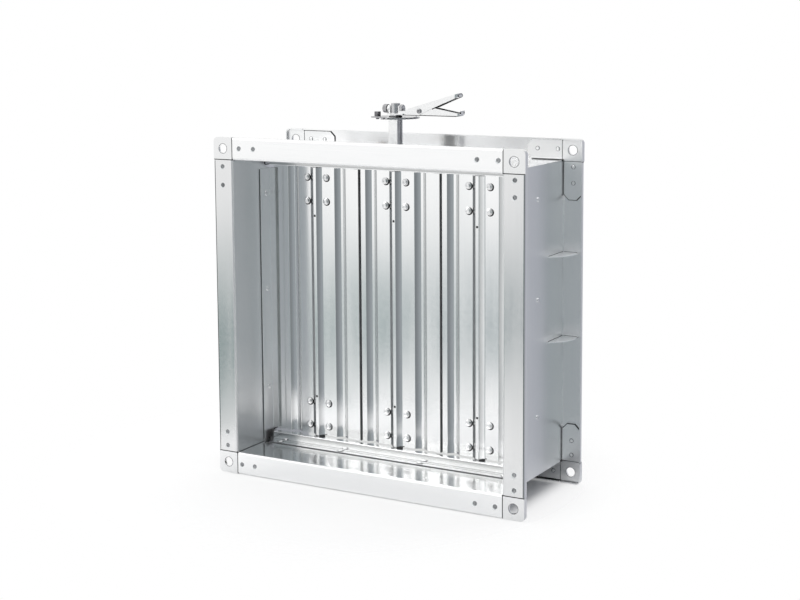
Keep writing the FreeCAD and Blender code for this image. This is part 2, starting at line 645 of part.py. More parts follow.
def make_bushes(label, sign):
    """Three collared hexagonal bushes in the top or bottom panel."""
    body = new_body(label)
    axles = [("%d * blade_pitch" % rank, "0") for name, rank in RANKS]
    face = "%s + %d * duct_height / 2" % (MIDDLE, sign)
    collar = face if sign < 0 else face + " - bush_rise"
    barrel = "%s - panel - bush_out" % face if sign < 0 else face
    hexagons(body, "floor", collar, "bush_rise", axles, "bush_cap")
    hexagons(body, "floor", barrel, "panel + bush_out", axles, "bush")
    low = "%s - panel - bush_out" % face if sign < 0 else collar
    bore(body, "floor", low, "panel + bush_out + bush_rise", axles, "axle + axle_fit")
    return body


# Blades and what turns with them
def blade_section():
    """Blade's outline across its height: flats, a centre ridge and two grooves."""
    front = [("-" + BLADE_LEFT, 0)]
    folds = [(-1, "groove_place + groove_base", 0), (-1, "groove_place + groove_floor", 1),
             (-1, "groove_place - groove_floor", 1), (-1, "groove_place - groove_base", 0),
             (-1, "ridge_base", 0), (-1, "ridge_top", -1), (1, "ridge_top", -1), (1, "ridge_base", 0),
             (1, "groove_place - groove_base", 0), (1, "groove_place - groove_floor", 1),
             (1, "groove_place + groove_floor", 1), (1, "groove_place + groove_base", 0)]
    front += [("%d * (%s)" % (side, place), depth) for side, place, depth in folds]
    front.append((BLADE_RIGHT, 0))
    face = [(x, "%d * fold_depth - blade_front" % depth) for x, depth in front]
    back = [(x, "%d * fold_depth + %s" % (depth, BLADE_BACK)) for x, depth in reversed(front)]
    return face, back


def make_blade(label, rank):
    """Roll-formed blade with its screw holes and sight holes."""
    body = new_body(label)
    face, back = blade_section()
    slab(body, "floor", BLADE_LOW, BLADE_TALL, face + back)
    round_off(body, "blade_bend", straight_edges(body.Tip.Shape, 2, face[1:-1]))
    holes = [square(x, z, "screw + screw_fit") for x, z in screw_spots()]
    cut(body, "front", "blade_front", "2 * blade_front + blade", *holes)
    sights = [square("0", z, "sight_hole") for z in (SIGHT_TOP, SIGHT_LOW)]
    cut(body, "front", "0", "blade_front + 2 * fold_depth", *sights)
    place_on_axle(body, rank)
    return body


def screw_spots():
    """Eight clamp screws, in width and height."""
    rows = ("screw_end", "screw_end + screw_row", "duct_height - screw_end - screw_row", "duct_height - screw_end")
    return [("%d * screw_side" % side, "flange + " + row) for side in (-1, 1) for row in rows]


def make_upper_axle(label, rank):
    """Upper stub axle, from the sight hole out through the bush; the centre one carries the handle."""
    body = new_body(label)
    low = SIGHT_TOP
    top = HUB_TOP + " + drive_top" if rank == 0 else BUSH_TOP + " + axle_top"
    discs(body, "floor", low, "%s - (%s)" % (top, low), [("0", "0")], "axle")
    if rank == 0:
        hex_bore(body, "side", "-2 * axle", "4 * axle", [("0", HUB_BOLT)], "hub_bolt + hub_bolt_fit")
        return body
    place_on_axle(body, rank)
    return body


def make_lower_axle(label, rank):
    """Lower stub axle, with an octagonal end that carries the crank."""
    body = new_body(label)
    neck = "(%s + crank_gap / 2)" % CRANK_TOP
    discs(body, "floor", neck, "%s - %s" % (SIGHT_LOW, neck), [("0", "0")], "axle")
    octagons(body, "floor", "crank_low", "%s - crank_low" % neck, [("0", "0")], "axle_key")
    place_on_axle(body, rank)
    return body


def make_clip(label, rank):
    """Push-on star ring that holds a side axle up on its bush."""
    body = new_body(label)
    hexagons(body, "floor", BUSH_TOP + " + crank_gap", "clip_thick", [("0", "0")], "clip", "axle + grip_fit")
    place_on_axle(body, rank)
    return body


def make_clamps(label, rank):
    """Two saddles behind the blade that hold its stub axles in the ridge."""
    body = new_body(label)
    low = "(flange + clamp_end)"
    tall = "duct_height - 2 * clamp_end"
    plate = box_corners("-clamp_half", "clamp_half", BLADE_BACK, BLADE_BACK + " + clamp")
    slab(body, "floor", low, tall, plate)
    octagons(body, "floor", low, tall, [("0", "0")], "axle + clamp_fit + clamp")
    oct_bore(body, "floor", low, tall, [("0", "0")], "axle + clamp_fit")
    cut(body, "floor", low, tall, box_corners("-clamp_half", "clamp_half", "-2 * axle", BLADE_BACK))
    middle = box_corners("-2 * clamp_half", "2 * clamp_half", "-2 * axle", "3 * axle")
    cut(body, "floor", low + " + clamp_long", "duct_height - 2 * clamp_end - 2 * clamp_long", middle)
    cut(body, "front", "2 * axle", "3 * axle", *[square(x, z, "screw + screw_fit") for x, z in screw_spots()])
    place_on_axle(body, rank)
    return body


def make_clamp_screws(label, rank):
    """Eight screws with their nuts on: each is one solid of head, shank and nut."""
    body = new_body(label)
    spots = screw_spots()
    seat = BLADE_BACK + " + clamp"
    hexagons(body, "front", "-blade_front", "screw_rise", spots, "screw_cap")
    slab(body, "front", seat, "%s + blade_front" % seat, *[square(x, z, "screw") for x, z in spots])
    hexagons(body, "front", seat + " + nut_rise", "nut_rise", spots, "nut_flat")
    place_on_axle(body, rank)
    return body


def make_edge_seal(label, rank):
    """Soft strip behind the blade's right edge, which the next blade laps."""
    body = new_body(label)
    strip = box_corners(BLADE_RIGHT + " - edge_cover", BLADE_RIGHT + " + edge_proud",
                        BLADE_BACK, "%s + %s" % (BLADE_BACK, EDGE_SEAL))
    slab(body, "floor", BLADE_LOW, BLADE_TALL, strip)
    place_on_axle(body, rank)
    return body


def make_crank(label, rank):
    """Crank under the casing: hub, arm and a headed pin that hangs down."""
    body = new_body(label)
    tall = "%s - crank_low" % CRANK_TOP
    hexagons(body, "floor", "crank_low", tall, [("0", "0")], "crank_hub")
    tip = "crank_arm + arm_end"
    arm = [("0", "-arm_end"), ("crank_arm", "-arm_end"), (tip, "-arm_end / 2"), (tip, "arm_end / 2"),
           ("crank_arm", "arm_end"), ("0", "arm_end")]
    slab(body, "floor", "arm_level", "arm_thick", arm)
    pin_low = "(%s - bar_thick - crank_gap)" % BAR_TOP
    octagons(body, "floor", pin_low, "arm_level - %s" % pin_low, [("crank_arm", "0")], "crank_pin * cos(22.5 deg)")
    hexagons(body, "floor", pin_low + " - pin_rise", "pin_rise", [("crank_arm", "0")], "pin_cap")
    oct_bore(body, "floor", "crank_low", tall, [("0", "0")], "axle_key + pin_fit")
    body.Placement = FreeCAD.Placement(
        FreeCAD.Vector(0, 0, 0), FreeCAD.Rotation(FreeCAD.Vector(0, 0, 1), number("crank_angle")))
    body.setExpression("Placement.Base.x", bound("%d * blade_pitch" % rank))
    body.setExpression("Placement.Rotation.Angle", bound("crank_angle * 1 deg"))
    return body


def make_tie_bar():
    """Flat bar that joins the three crank pins."""
    body = new_body("tie_bar")
    low = "%s - bar_thick" % BAR_TOP
    tip = "blade_pitch + bar_half"
    bar = [("-blade_pitch", "-bar_half"), ("blade_pitch", "-bar_half"), (tip, "-bar_half / 2"),
           (tip, "bar_half / 2"), ("blade_pitch", "bar_half"), ("-blade_pitch", "bar_half"),
           ("-(%s)" % tip, "bar_half / 2"), ("-(%s)" % tip, "-bar_half / 2")]
    slab(body, "floor", low, "bar_thick", bar)
    pins = [("%d * blade_pitch" % rank, "0") for name, rank in RANKS]
    oct_bore(body, "floor", low, "bar_thick", pins, "crank_pin + pin_fit")
    body.setExpression("Placement.Base.x", bound("crank_arm * cos(crank_angle * 1 deg)"))
    body.setExpression("Placement.Base.y", bound("crank_arm * sin(crank_angle * 1 deg)"))
    return body


# Handle on the top panel
def make_stand():
    """Post open on its right side, on a riveted foot."""
    body = new_body("handle_stand")
    foot = box_corners("-foot_half_x", "foot_half_x", "-foot_half_y", "foot_half_y")
    slab(body, "floor", ROOF_TOP, "foot", foot)
    corners = [(x, y) for x in ("-foot_half_x", "foot_half_x") for y in ("-foot_half_y", "foot_half_y")]
    round_off(body, "foot_round", straight_edges(body.Tip.Shape, 2, corners))
    inside = "(post_half - post)"
    post = [("-post_left", "-post_half"), ("post_right", "-post_half"), ("post_right", "-" + inside),
            ("post - post_left", "-" + inside), ("post - post_left", inside), ("post_right", inside),
            ("post_right", "post_half"), ("-post_left", "post_half")]
    slab(body, "floor", ROOF_TOP + " + foot", "stand_height - foot", post)
    folds = [("-post_left", "-post_half"), ("-post_left", "post_half")]
    round_off(body, "post * 0.8", straight_edges(body.Tip.Shape, 2, folds))
    hex_bore(body, "floor", ROOF_TOP, "foot", [("0", "0")], "bush + 4 * bush_fit")
    return body


def make_quadrant():
    """Quadrant plate: an eye, an ear and a sector with locking notches in its edge."""
    body = new_body("quadrant_plate")
    discs(body, "floor", PLATE_LOW, "quadrant", [("0", "0")], "quadrant_eye")
    slab(body, "floor", PLATE_LOW, "quadrant", box_corners("-ear_reach", "0", "-ear_half", "ear_half"))
    sketch = new_sketch(body, "floor", PLATE_LOW)
    start = ("quadrant_edge * cos(quadrant_open * 1 deg)", "-quadrant_edge * sin(quadrant_open * 1 deg)")
    finish = ("quadrant_edge * cos(quadrant_past * 1 deg)", "quadrant_edge * sin(quadrant_past * 1 deg)")
    half_way = "(quadrant_past - quadrant_open) / 2 * 1 deg"
    between = ("quadrant_edge * cos(%s)" % half_way, "quadrant_edge * sin(%s)" % half_way)
    heart = FreeCAD.Vector(0, 0, 0)
    spots = [FreeCAD.Vector(number(x), number(y), 0) for x, y in (start, between, finish)]
    sketch.addGeometry(Part.LineSegment(heart, spots[0]), False)
    sketch.addGeometry(Part.Arc(*spots), False)
    sketch.addGeometry(Part.LineSegment(spots[2], heart), False)
    sketch.addConstraint(Sketcher.Constraint("Coincident", 0, 2, 1, 1))
    sketch.addConstraint(Sketcher.Constraint("Coincident", 1, 2, 2, 1))
    sketch.addConstraint(Sketcher.Constraint("Coincident", 2, 2, 0, 1))
    sketch.addConstraint(Sketcher.Constraint("Coincident", 0, 1, -1, 1))
    sketch.addConstraint(Sketcher.Constraint("Coincident", 1, 3, -1, 1))
    pin_point(sketch, 0, 2, start)
    index = sketch.addConstraint(Sketcher.Constraint("Angle", 2, 2, 0, 1, number("quadrant_open + quadrant_past")
                                                     * 3.141592653589793 / 180))
    sketch.setExpression("Constraints[%d]" % index, bound("(quadrant_open + quadrant_past) * 1 deg"))
    pad(body, sketch, "quadrant")
    hex_bore(body, "floor", PLATE_LOW, "quadrant", [("0", "0")], "plate_hole")
    hex_bore(body, "floor", PLATE_LOW, "quadrant", [("-ear_bolt", "0")], "screw + screw_fit")
    notch = box_corners("quadrant_edge - notch_deep", "quadrant_edge + notch_deep", "-notch_half", "notch_half")
    first_notch = cut(body, "floor", PLATE_LOW, "quadrant", notch)
    pattern = body.newObject("PartDesign::PolarPattern", "quadrant_pattern")
    pattern.Originals = [first_notch]
    pattern.Axis = ([axis for axis in body.Origin.OriginFeatures if axis.Role == "Z_Axis"][0], [""])
    pattern.Reversed = True
    pattern.Occurrences = NOTCHES
    pattern.setExpression("Angle", bound("lock_span * 1 deg"))
    body.Tip = pattern
    doc.recompute()
    return body


def make_ear_bolt():
    """Hex bolt in the quadrant plate's ear."""
    body = new_body("quadrant_bolt")
    hexagons(body, "floor", PLATE_TOP, "ear_bolt_rise", [("-ear_bolt", "0")], "ear_bolt_flat")
    hexagons(body, "floor", PLATE_LOW + " - quadrant", "2 * quadrant", [("-ear_bolt", "0")], "screw")
    return body


def make_spacer():
    """Hexagonal spacer on the drive axle, between the quadrant plate and the lever."""
    body = new_body("handle_spacer")
    hexagons(body, "floor", SPACER_LOW, "spacer", [("0", "0")], "spacer_edge", "axle + grip_fit")
    return body


def make_hub():
    """Yoke round the back of the drive axle, with its front open."""
    body = new_body("handle_hub")
    block = box_corners("-hub_half", "hub_half", "-hub_front", "hub_rear")
    slab(body, "floor", HUB_LOW, "hub_height", block)
    rear = [("-hub_half", "hub_rear"), ("hub_half", "hub_rear")]
    round_off(body, "hub_rear / 2", straight_edges(body.Tip.Shape, 2, rear))
    across = [("0", HUB_BOLT)]
    hexagons(body, "side", "-hub_half - hub_washer", "hub_washer", across, "bolt_flat * cos(30 deg)")
    bore(body, "floor", HUB_LOW, "hub_height", [("0", "0")], "axle + grip_fit")
    mouth = box_corners("-axle - grip_fit", "axle + grip_fit", "-2 * hub_front", "0")
    cut(body, "floor", HUB_LOW, "hub_height", mouth)
    hex_bore(body, "side", "-2 * hub_half", "4 * hub_half", across, "hub_bolt + hub_bolt_fit")
    return body


def make_hub_bolt():
    """Bolt through the hub and the drive axle, with its nut on."""
    body = new_body("hub_clamp_bolt")
    outline = [(y, z) for z, y in hexagon(HUB_BOLT, "0", "bolt_flat")]
    left = "(hub_half + hub_washer)"
    slab(body, "side", "-%s - bolt_head" % left, "bolt_head", outline)
    hexagons(body, "side", "-" + left, "%s + hub_half" % left, [("0", HUB_BOLT)], "hub_bolt")
    slab(body, "side", "hub_half", "bolt_nut", outline)
    return body


def make_lever():
    """Channel-shaped lever, open on top, with a tongue under the hub."""
    body = new_body("handle_lever")
    low = TONGUE_LOW
    first = "hub_half + lever_hub_gap"
    sides = [(first, low), ("lever_end", low + " + lever_rise"), ("lever_end", low + " + lever_rise + lever_tip"),
             ("lever_taper", low + " + lever_deep"), (first, low + " + lever_inner")]
    slab(body, "front", "lever_half", "2 * lever_half", sides)
    tip = straight_edges(body.Tip.Shape, 2, [("lever_end", "lever_half"), ("lever_end", "-lever_half")])
    round_off(body, "tip_round", tip)
    inside = [("0", low + " + tongue"), ("lever_end - 3 * lever_wall", low + " + lever_rise + lever_wall"),
              ("lever_end - 3 * lever_wall", low + " + 3 * lever_deep"), ("0", low + " + 3 * lever_deep")]
    cut(body, "front", "lever_half - lever_wall", "2 * (lever_half - lever_wall)", inside)
    tongue = box_corners("-tongue_half", first + " + lever_half", "-tongue_half", "tongue_half")
    slab(body, "floor", low, "tongue", tongue)
    corners = [("-tongue_half", "-tongue_half"), ("-tongue_half", "tongue_half")]
    round_off(body, "tongue_half / 3", straight_edges(body.Tip.Shape, 2, corners))
    hex_bore(body, "floor", low, "tongue", [("0", "0")], "axle + 2 * axle_fit")
    slot = box_corners(PAWL + " - 3 * pawl", PAWL + " + 1.5 * pawl", "-1.5 * pawl", "1.5 * pawl")
    cut(body, "floor", low, "tongue + lever_rise", slot)
    pivot = [("pivot_x", PLATE_TOP + " + pivot_z")]
    hex_bore(body, "front", "2 * lever_half", "4 * lever_half", pivot, "pivot_pin + grip_fit")
    return body


def make_trigger():
    """Channel-shaped trigger, open below, that straddles the lever and carries the pawl."""
    body = new_body("trigger")
    level = PLATE_TOP + " + "
    slope = "(trigger_end_high - trigger_high) / (trigger_end - trigger_start)"
    knee = level + "trigger_high + (trigger_knee_x - trigger_start) * %s - trigger_knee_deep" % slope
    sides = [("trigger_start", level + "trigger_low"), ("trigger_start", level + "trigger_high"),
             ("trigger_end", level + "trigger_end_high"),
             ("trigger_end", level + "trigger_end_high - trigger_end_deep"), ("trigger_knee_x", knee),
             ("pivot_x + 1.3 * pivot_cap", level + "(trigger_low + pivot_z) / 2"),
             ("pivot_x", level + "trigger_low")]
    slab(body, "front", TRIGGER_HALF, "2 * " + TRIGGER_HALF, sides)
    tips = [("trigger_end", TRIGGER_HALF), ("trigger_end", "-" + TRIGGER_HALF)]
    round_off(body, "tip_round", straight_edges(body.Tip.Shape, 2, tips))
    wall = "lever_wall"
    inside = [("trigger_start - " + wall, level + "0"),
              ("trigger_start - " + wall, level + "trigger_high - %s * (1 + %s)" % (wall, slope)),
              ("trigger_end - 3 * " + wall, level + "trigger_end_high - %s * (1 + 3 * %s)" % (wall, slope)),
              ("trigger_end - 3 * " + wall, level + "0")]
    room = "(lever_half + trigger_gap)"
    cut(body, "front", room, "2 * " + room, inside)
    reach = "trigger_high + (%s - trigger_start) * %s - lever_wall / 2 - pawl_gap" % (PAWL, slope)
    tooth = box_corners(PAWL + " - pawl", PAWL + " + pawl", "-pawl", "pawl")
    slab(body, "floor", level + "pawl_gap", reach, tooth)
    pivot = [("pivot_x", level + "pivot_z")]
    oct_bore(body, "front", "2 * " + TRIGGER_HALF, "4 * " + TRIGGER_HALF, pivot, "pivot_pin + pin_fit")
    return body


def make_trigger_spring():
    """Close-wound coil round the trigger's pin, with one leg on the lever and one under the trigger."""
    body = new_body("trigger_spring")
    centre = ("pivot_x", PLATE_TOP + " + pivot_z")
    octagons(body, "front", "spring_half", "2 * spring_half", [centre], "spring")
    low = centre[1] + " - spring"
    lower = [("pivot_x", low), ("pivot_x + spring_leg", low), ("pivot_x + spring_leg", low + " + spring_wire"),
             ("pivot_x", low + " + spring_wire")]
    slab(body, "front", "spring_half", "spring_wire", lower)
    high = centre[1] + " + spring"
    rise = "spring_leg * 0.2"
    upper = [("pivot_x", high + " - spring_wire"), ("pivot_x + spring_leg", "%s - spring_wire + %s" % (high, rise)),
             ("pivot_x + spring_leg", "%s + %s" % (high, rise)), ("pivot_x", high)]
    slab(body, "front", "spring_wire - spring_half", "spring_wire", upper)
    oct_bore(body, "front", "2 * spring_half", "4 * spring_half", [centre], "spring_hole")
    return body


def make_trigger_pin():
    """Headed pin through the trigger and the lever."""
    body = new_body("trigger_pin")
    pivot = [("pivot_x", PLATE_TOP + " + pivot_z")]
    reach = "(%s + trigger_gap)" % TRIGGER_HALF
    octagons(body, "front", reach, "2 * " + reach, pivot, "pivot_pin * cos(22.5 deg)")
    hexagons(body, "front", reach + " + pivot_rise", "pivot_rise", pivot, "pivot_cap")
    hexagons(body, "front", "-" + reach, "pivot_rise", pivot, "pivot_cap")
    return body


make_level_panel("top_panel", 1)
make_level_panel("bottom_panel", -1)
make_side_panel("left_panel", -1)
make_side_panel("right_panel", 1)
for end_name, end in (("front", -1), ("rear", 1)):
    for height_name, height in (("bottom", -1), ("top", 1)):
        for side_name, side in (("left", -1), ("right", 1)):
            make_corner("%s_corner_%s_%s" % (end_name, height_name, side_name), end, side, height)
make_gussets("left_gussets", -1)
make_gussets("right_gussets", 1)
make_rail("top_stop_rail", 1)
make_rail("bottom_stop_rail", -1)
for side_name, side in (("left", -1), ("right", 1)):
    make_side_stop(side_name + "_side_stop", side)
    make_side_seal(side_name + "_side_seal", side)
make_bushes("upper_bushes", 1)
make_bushes("lower_bushes", -1)
for rank_name, rank in RANKS:
    make_blade(rank_name + "_blade", rank)
    make_upper_axle("drive_axle" if rank == 0 else rank_name + "_upper_axle", rank)
    make_lower_axle(rank_name + "_lower_axle", rank)
    make_clamps(rank_name + "_axle_clamps", rank)
    make_clamp_screws(rank_name + "_clamp_screws", rank)
    make_edge_seal(rank_name + "_edge_seal", rank)
    make_crank(rank_name + "_crank", rank)
    if rank != 0:
        make_clip(rank_name + "_axle_clip", rank)
make_tie_bar()
make_stand()
make_quadrant()
make_ear_bolt()
make_spacer()
make_hub()
make_hub_bolt()
make_lever()
make_trigger()
make_trigger_pin()
make_trigger_spring()

# Check the model before anything is written
doc.recompute()
for item in doc.Objects:
    if "Invalid" in item.State or "Error" in item.State:
        raise RuntimeError("%s (%s) failed: %s" % (item.Name, item.Label, item.State))
for part in parts:
    if part.Shape.isNull() or not part.Shape.isValid() or not part.Shape.Solids:
        raise RuntimeError("%s has no valid solid" % part.Label)

os.makedirs("parts", exist_ok=True)
for part in parts:
    part.Shape.exportStep("parts/%s.step" % part.Label)
print("%d sub-parts written" % len(parts))
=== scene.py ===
"""Looks of the isolation damper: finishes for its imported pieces, and the small fittings that go on them."""

import logging
import math
from dataclasses import dataclass, field, replace
from enum import Enum

import bmesh
import bpy
from mathutils import Matrix, Vector

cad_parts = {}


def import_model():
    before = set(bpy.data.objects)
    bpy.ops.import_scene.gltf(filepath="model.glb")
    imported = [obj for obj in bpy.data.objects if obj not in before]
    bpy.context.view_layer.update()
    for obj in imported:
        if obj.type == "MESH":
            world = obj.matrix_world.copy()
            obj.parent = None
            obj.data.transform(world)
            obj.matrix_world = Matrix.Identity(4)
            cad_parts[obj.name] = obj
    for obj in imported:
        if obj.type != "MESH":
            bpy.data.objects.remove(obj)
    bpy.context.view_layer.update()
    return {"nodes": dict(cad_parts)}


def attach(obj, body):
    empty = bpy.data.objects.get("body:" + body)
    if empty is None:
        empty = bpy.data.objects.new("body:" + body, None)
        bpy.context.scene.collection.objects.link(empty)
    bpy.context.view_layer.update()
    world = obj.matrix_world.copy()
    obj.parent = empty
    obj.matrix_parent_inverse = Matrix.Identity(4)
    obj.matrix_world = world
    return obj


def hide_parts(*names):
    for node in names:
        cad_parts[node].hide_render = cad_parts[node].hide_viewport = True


log = logging.getLogger("damper")

MM = 0.001
CORNERS = tuple((side, up) for side in (-1, 1) for up in (-1, 1))
HEX_STEPS = 36
HEX_CORNER = 0.155
HEX_CAP = 0.96
RIVET_HEAD = ((3.6, 0.0), (3.5, 0.45), (2.9, 1.0), (1.9, 1.30), (1.05, 1.38), (0.95, 0.95), (0.0, 0.9))
RIVET_TAIL = ((2.9, 0.0), (2.95, 0.9), (2.6, 1.35), (1.2, 1.4), (0.0, 1.4))


class Grain(Enum):
    """Direction in which a sheet was rolled, as the stretch of its streaks along X, Y and Z."""

    UPRIGHT = (1.0, 1.0, 0.035)
    WIDE = (0.035, 1.0, 1.0)
    EVEN = (1.0, 1.0, 1.0)


class Turn(Enum):
    """Axis that a turned fitting stands on."""

    UP = (0.0, 0.0, 1.0)
    DOWN = (0.0, 0.0, -1.0)
    FRONT = (0.0, -1.0, 0.0)
    BACK = (0.0, 1.0, 0.0)
    LEFT = (-1.0, 0.0, 0.0)
    RIGHT = (1.0, 0.0, 0.0)

    @property
    def back(self) -> "Turn":
        """The opposite axis."""
        return Turn(tuple(0.0 - part for part in self.value))


class Signal:
    """A socket's output in a node tree, with arithmetic that adds Math nodes."""

    def __init__(self, tree: "Tree", socket: bpy.types.NodeSocket) -> None:
        """Wrap one output socket of a tree."""
        self.tree = tree
        self.socket = socket

    def _math(self, operation: str, *terms: "Signal | float") -> "Signal":
        """Add one Math node for an operation, with its inputs in order."""
        return self.tree.node("ShaderNodeMath", {"operation": operation}, dict(enumerate(terms)))

    def __add__(self, other: "Signal | float") -> "Signal":
        """Sum."""
        return self._math("ADD", self, other)

    def __radd__(self, other: float) -> "Signal":
        """Sum with a number first."""
        return self._math("ADD", other, self)

    def __sub__(self, other: "Signal | float") -> "Signal":
        """Difference."""
        return self._math("SUBTRACT", self, other)

    def __rsub__(self, other: float) -> "Signal":
        """Difference with a number first."""
        return self._math("SUBTRACT", other, self)

    def __mul__(self, other: "Signal | float") -> "Signal":
        """Product."""
        return self._math("MULTIPLY", self, other)

    def __rmul__(self, other: float) -> "Signal":
        """Product with a number first."""
        return self._math("MULTIPLY", other, self)

    def higher(self, other: "Signal | float") -> "Signal":
        """Larger of two values."""
        return self._math("MAXIMUM", self, other)

    def size(self) -> "Signal":
        """Value without its sign."""
        return self._math("ABSOLUTE", self)

    def between(self, low: float, high: float) -> "Signal":
        """Smooth step from 0 at the low value to 1 at the high one."""
        return self.tree.node(
            "ShaderNodeMapRange", {"interpolation_type": "SMOOTHSTEP"},
            {"Value": self, "From Min": low, "From Max": high})


class Tree:
    """One material's or world's nodes."""

    def __init__(self, nodes: bpy.types.NodeTree) -> None:
        """Start on an emptied node tree."""
        self.nodes = nodes
        nodes.nodes.clear()

    def node(self, kind: str, settings: dict, sockets: dict, output: int | str = 0) -> Signal:
        """Add a node.

        Args:
            kind: The node's type.
            settings: Its own settings, set before its sockets.
            sockets: Values or links by input name or number.
            output: Name or number of the output that is returned.

        Returns:
            The chosen output.
        """
        made = self.nodes.nodes.new(kind)
        for name, value in settings.items():
            setattr(made, name, value)
        for key, value in sockets.items():
            if isinstance(value, Signal):
                self.nodes.links.new(value.socket, made.inputs[key])
            else:
                made.inputs[key].default_value = value
        return Signal(self, made.outputs[output] if made.outputs else None)

    def place(self, stretch: tuple = (1.0, 1.0, 1.0), shift: tuple = (0.0, 0.0, 0.0)) -> Signal:
        """Object coordinates in metres, stretched along X, Y and Z and then shifted."""
        spot = self.node("ShaderNodeTexCoord", {}, {}, "Object")
        return self.node("ShaderNodeMapping", {}, {"Vector": spot, "Scale": stretch, "Location": shift})

    def along(self, axis: str, way: Signal | None = None) -> Signal:
        """One part, X, Y or Z, of a vector; of the object coordinates in metres where it is left out."""
        return self.node("ShaderNodeSeparateXYZ", {}, {"Vector": way or self.place()}, axis)

    def noise(self, spot: Signal, scale: float, detail: float = 2.0, rough: float = 0.5) -> Signal:
        """Noise with so many waves per metre, about 0.5 in the middle; rough is the finer octaves' strength."""
        return self.node("ShaderNodeTexNoise", {},
                         {"Vector": spot, "Scale": scale, "Detail": detail, "Roughness": rough})

    def blend(self, mask: Signal | float, low: "Signal | tuple", high: "Signal | tuple") -> Signal:
        """Mix two colours: a mask of 0 gives the first and 1 the second."""
        low, high = (value if isinstance(value, Signal) else (*value, 1.0) for value in (low, high))
        return self.node("ShaderNodeMix", {"data_type": "RGBA"}, {0: mask, 6: low, 7: high}, 2)

    def bump(self, height: Signal, depth: float, strength: float) -> Signal:
        """Turn a height from 0 to 1 into a normal, by its full depth in metres."""
        return self.node("ShaderNodeBump", {}, {"Height": height, "Distance": depth, "Strength": strength}, "Normal")

    def surface(self, colour: Signal, rough: Signal, normal: Signal, metallic: float = 1.0) -> Signal:
        """Close a finish with its surface shader, from its base colour, roughness and relief."""
        return self.node("ShaderNodeBsdfPrincipled", {}, {
            "Base Color": colour, "Metallic": metallic, "Roughness": rough, "Normal": normal})


class Finish:
    """A material that is made once and then shared."""

    name: str = ""

    def material(self) -> bpy.types.Material:
        """Find the finish's material, and build it the first time.

        Returns:
            The material.
        """
        found = bpy.data.materials.get(self.name)
        if found:
            return found
        made = bpy.data.materials.new(self.name)
        made.use_nodes = True
        tree = Tree(made.node_tree)
        tree.node("ShaderNodeOutputMaterial", {}, {"Surface": self.shader(tree)})
        return made

    def shader(self, tree: Tree) -> Signal:
        """Build the surface shader in the tree."""
        raise NotImplementedError


@dataclass(frozen=True)
class Folds:
    """Lines along a sheet's bends, where the zinc has turned matt and pale.

    The across field names the axis that the sheet's web faces, and the places are metres from the part's middle.
    """

    across: str = "X"
    middle: float = 0.0
    inner: tuple = (0.2014, 0.2033, 0.0867, 0.0887)
    outer: tuple = (0.1998, 0.2018, 0.0884, 0.0902)
    edge: float = 0.0002

    def mask(self, tree: Tree) -> Signal:
        """Build the mask: 1 on the bends and 0 elsewhere.

        Args:
            tree: The nodes that it is built in.

        Returns:
            The mask.
        """
        across = (tree.along(self.across) - self.middle).size()
        deep = tree.along("Y").size()
        parts = []
        for low, high, near, far in (self.inner, self.outer):
            side = across.between(low - self.edge, low) - across.between(high, high + self.edge)
            parts.append(side * (deep.between(near - self.edge, near) - deep.between(far, far + self.edge)))
        return parts[0].higher(parts[1])


@dataclass(frozen=True)
class ShadeBands:
    """Bands of painted shade and painted dark reflection: colour darkened along a sheet's bends and slopes, or over a
    patch.

    Each band has its start and finish along the axis, its strength and the share of it that fades out. Places are
    metres from the middle, on both sides of it, or repeat with the pitch.
    """

    axis: str
    bands: tuple
    middle: float = 0.0
    pitch: float = 0.0
    edge: float = 0.0002
    limits: tuple = ()

    def mask(self, tree: Tree) -> Signal:
        """Build the mask: up to 1 in the bands and 0 elsewhere.

        Args:
            tree: The nodes that it is built in.

        Returns:
            The mask.
        """
        place = tree.along(self.axis)
        if self.pitch:
            half = self.pitch / 2
            place = tree.node("ShaderNodeMath", {"operation": "WRAP"}, {0: place, 1: half, 2: -half})
        else:
            place = (place - self.middle).size()
        total = 0.0
        for start, finish, strength, fade in self.bands:
            fall = max(self.edge, (finish - start) * fade)
            total = total + (place.between(start - self.edge, start) - place.between(finish - fall, finish)) * strength
        for axis, low, high in self.limits:
            total = total * tree.along(axis).between(low, high)
        return total


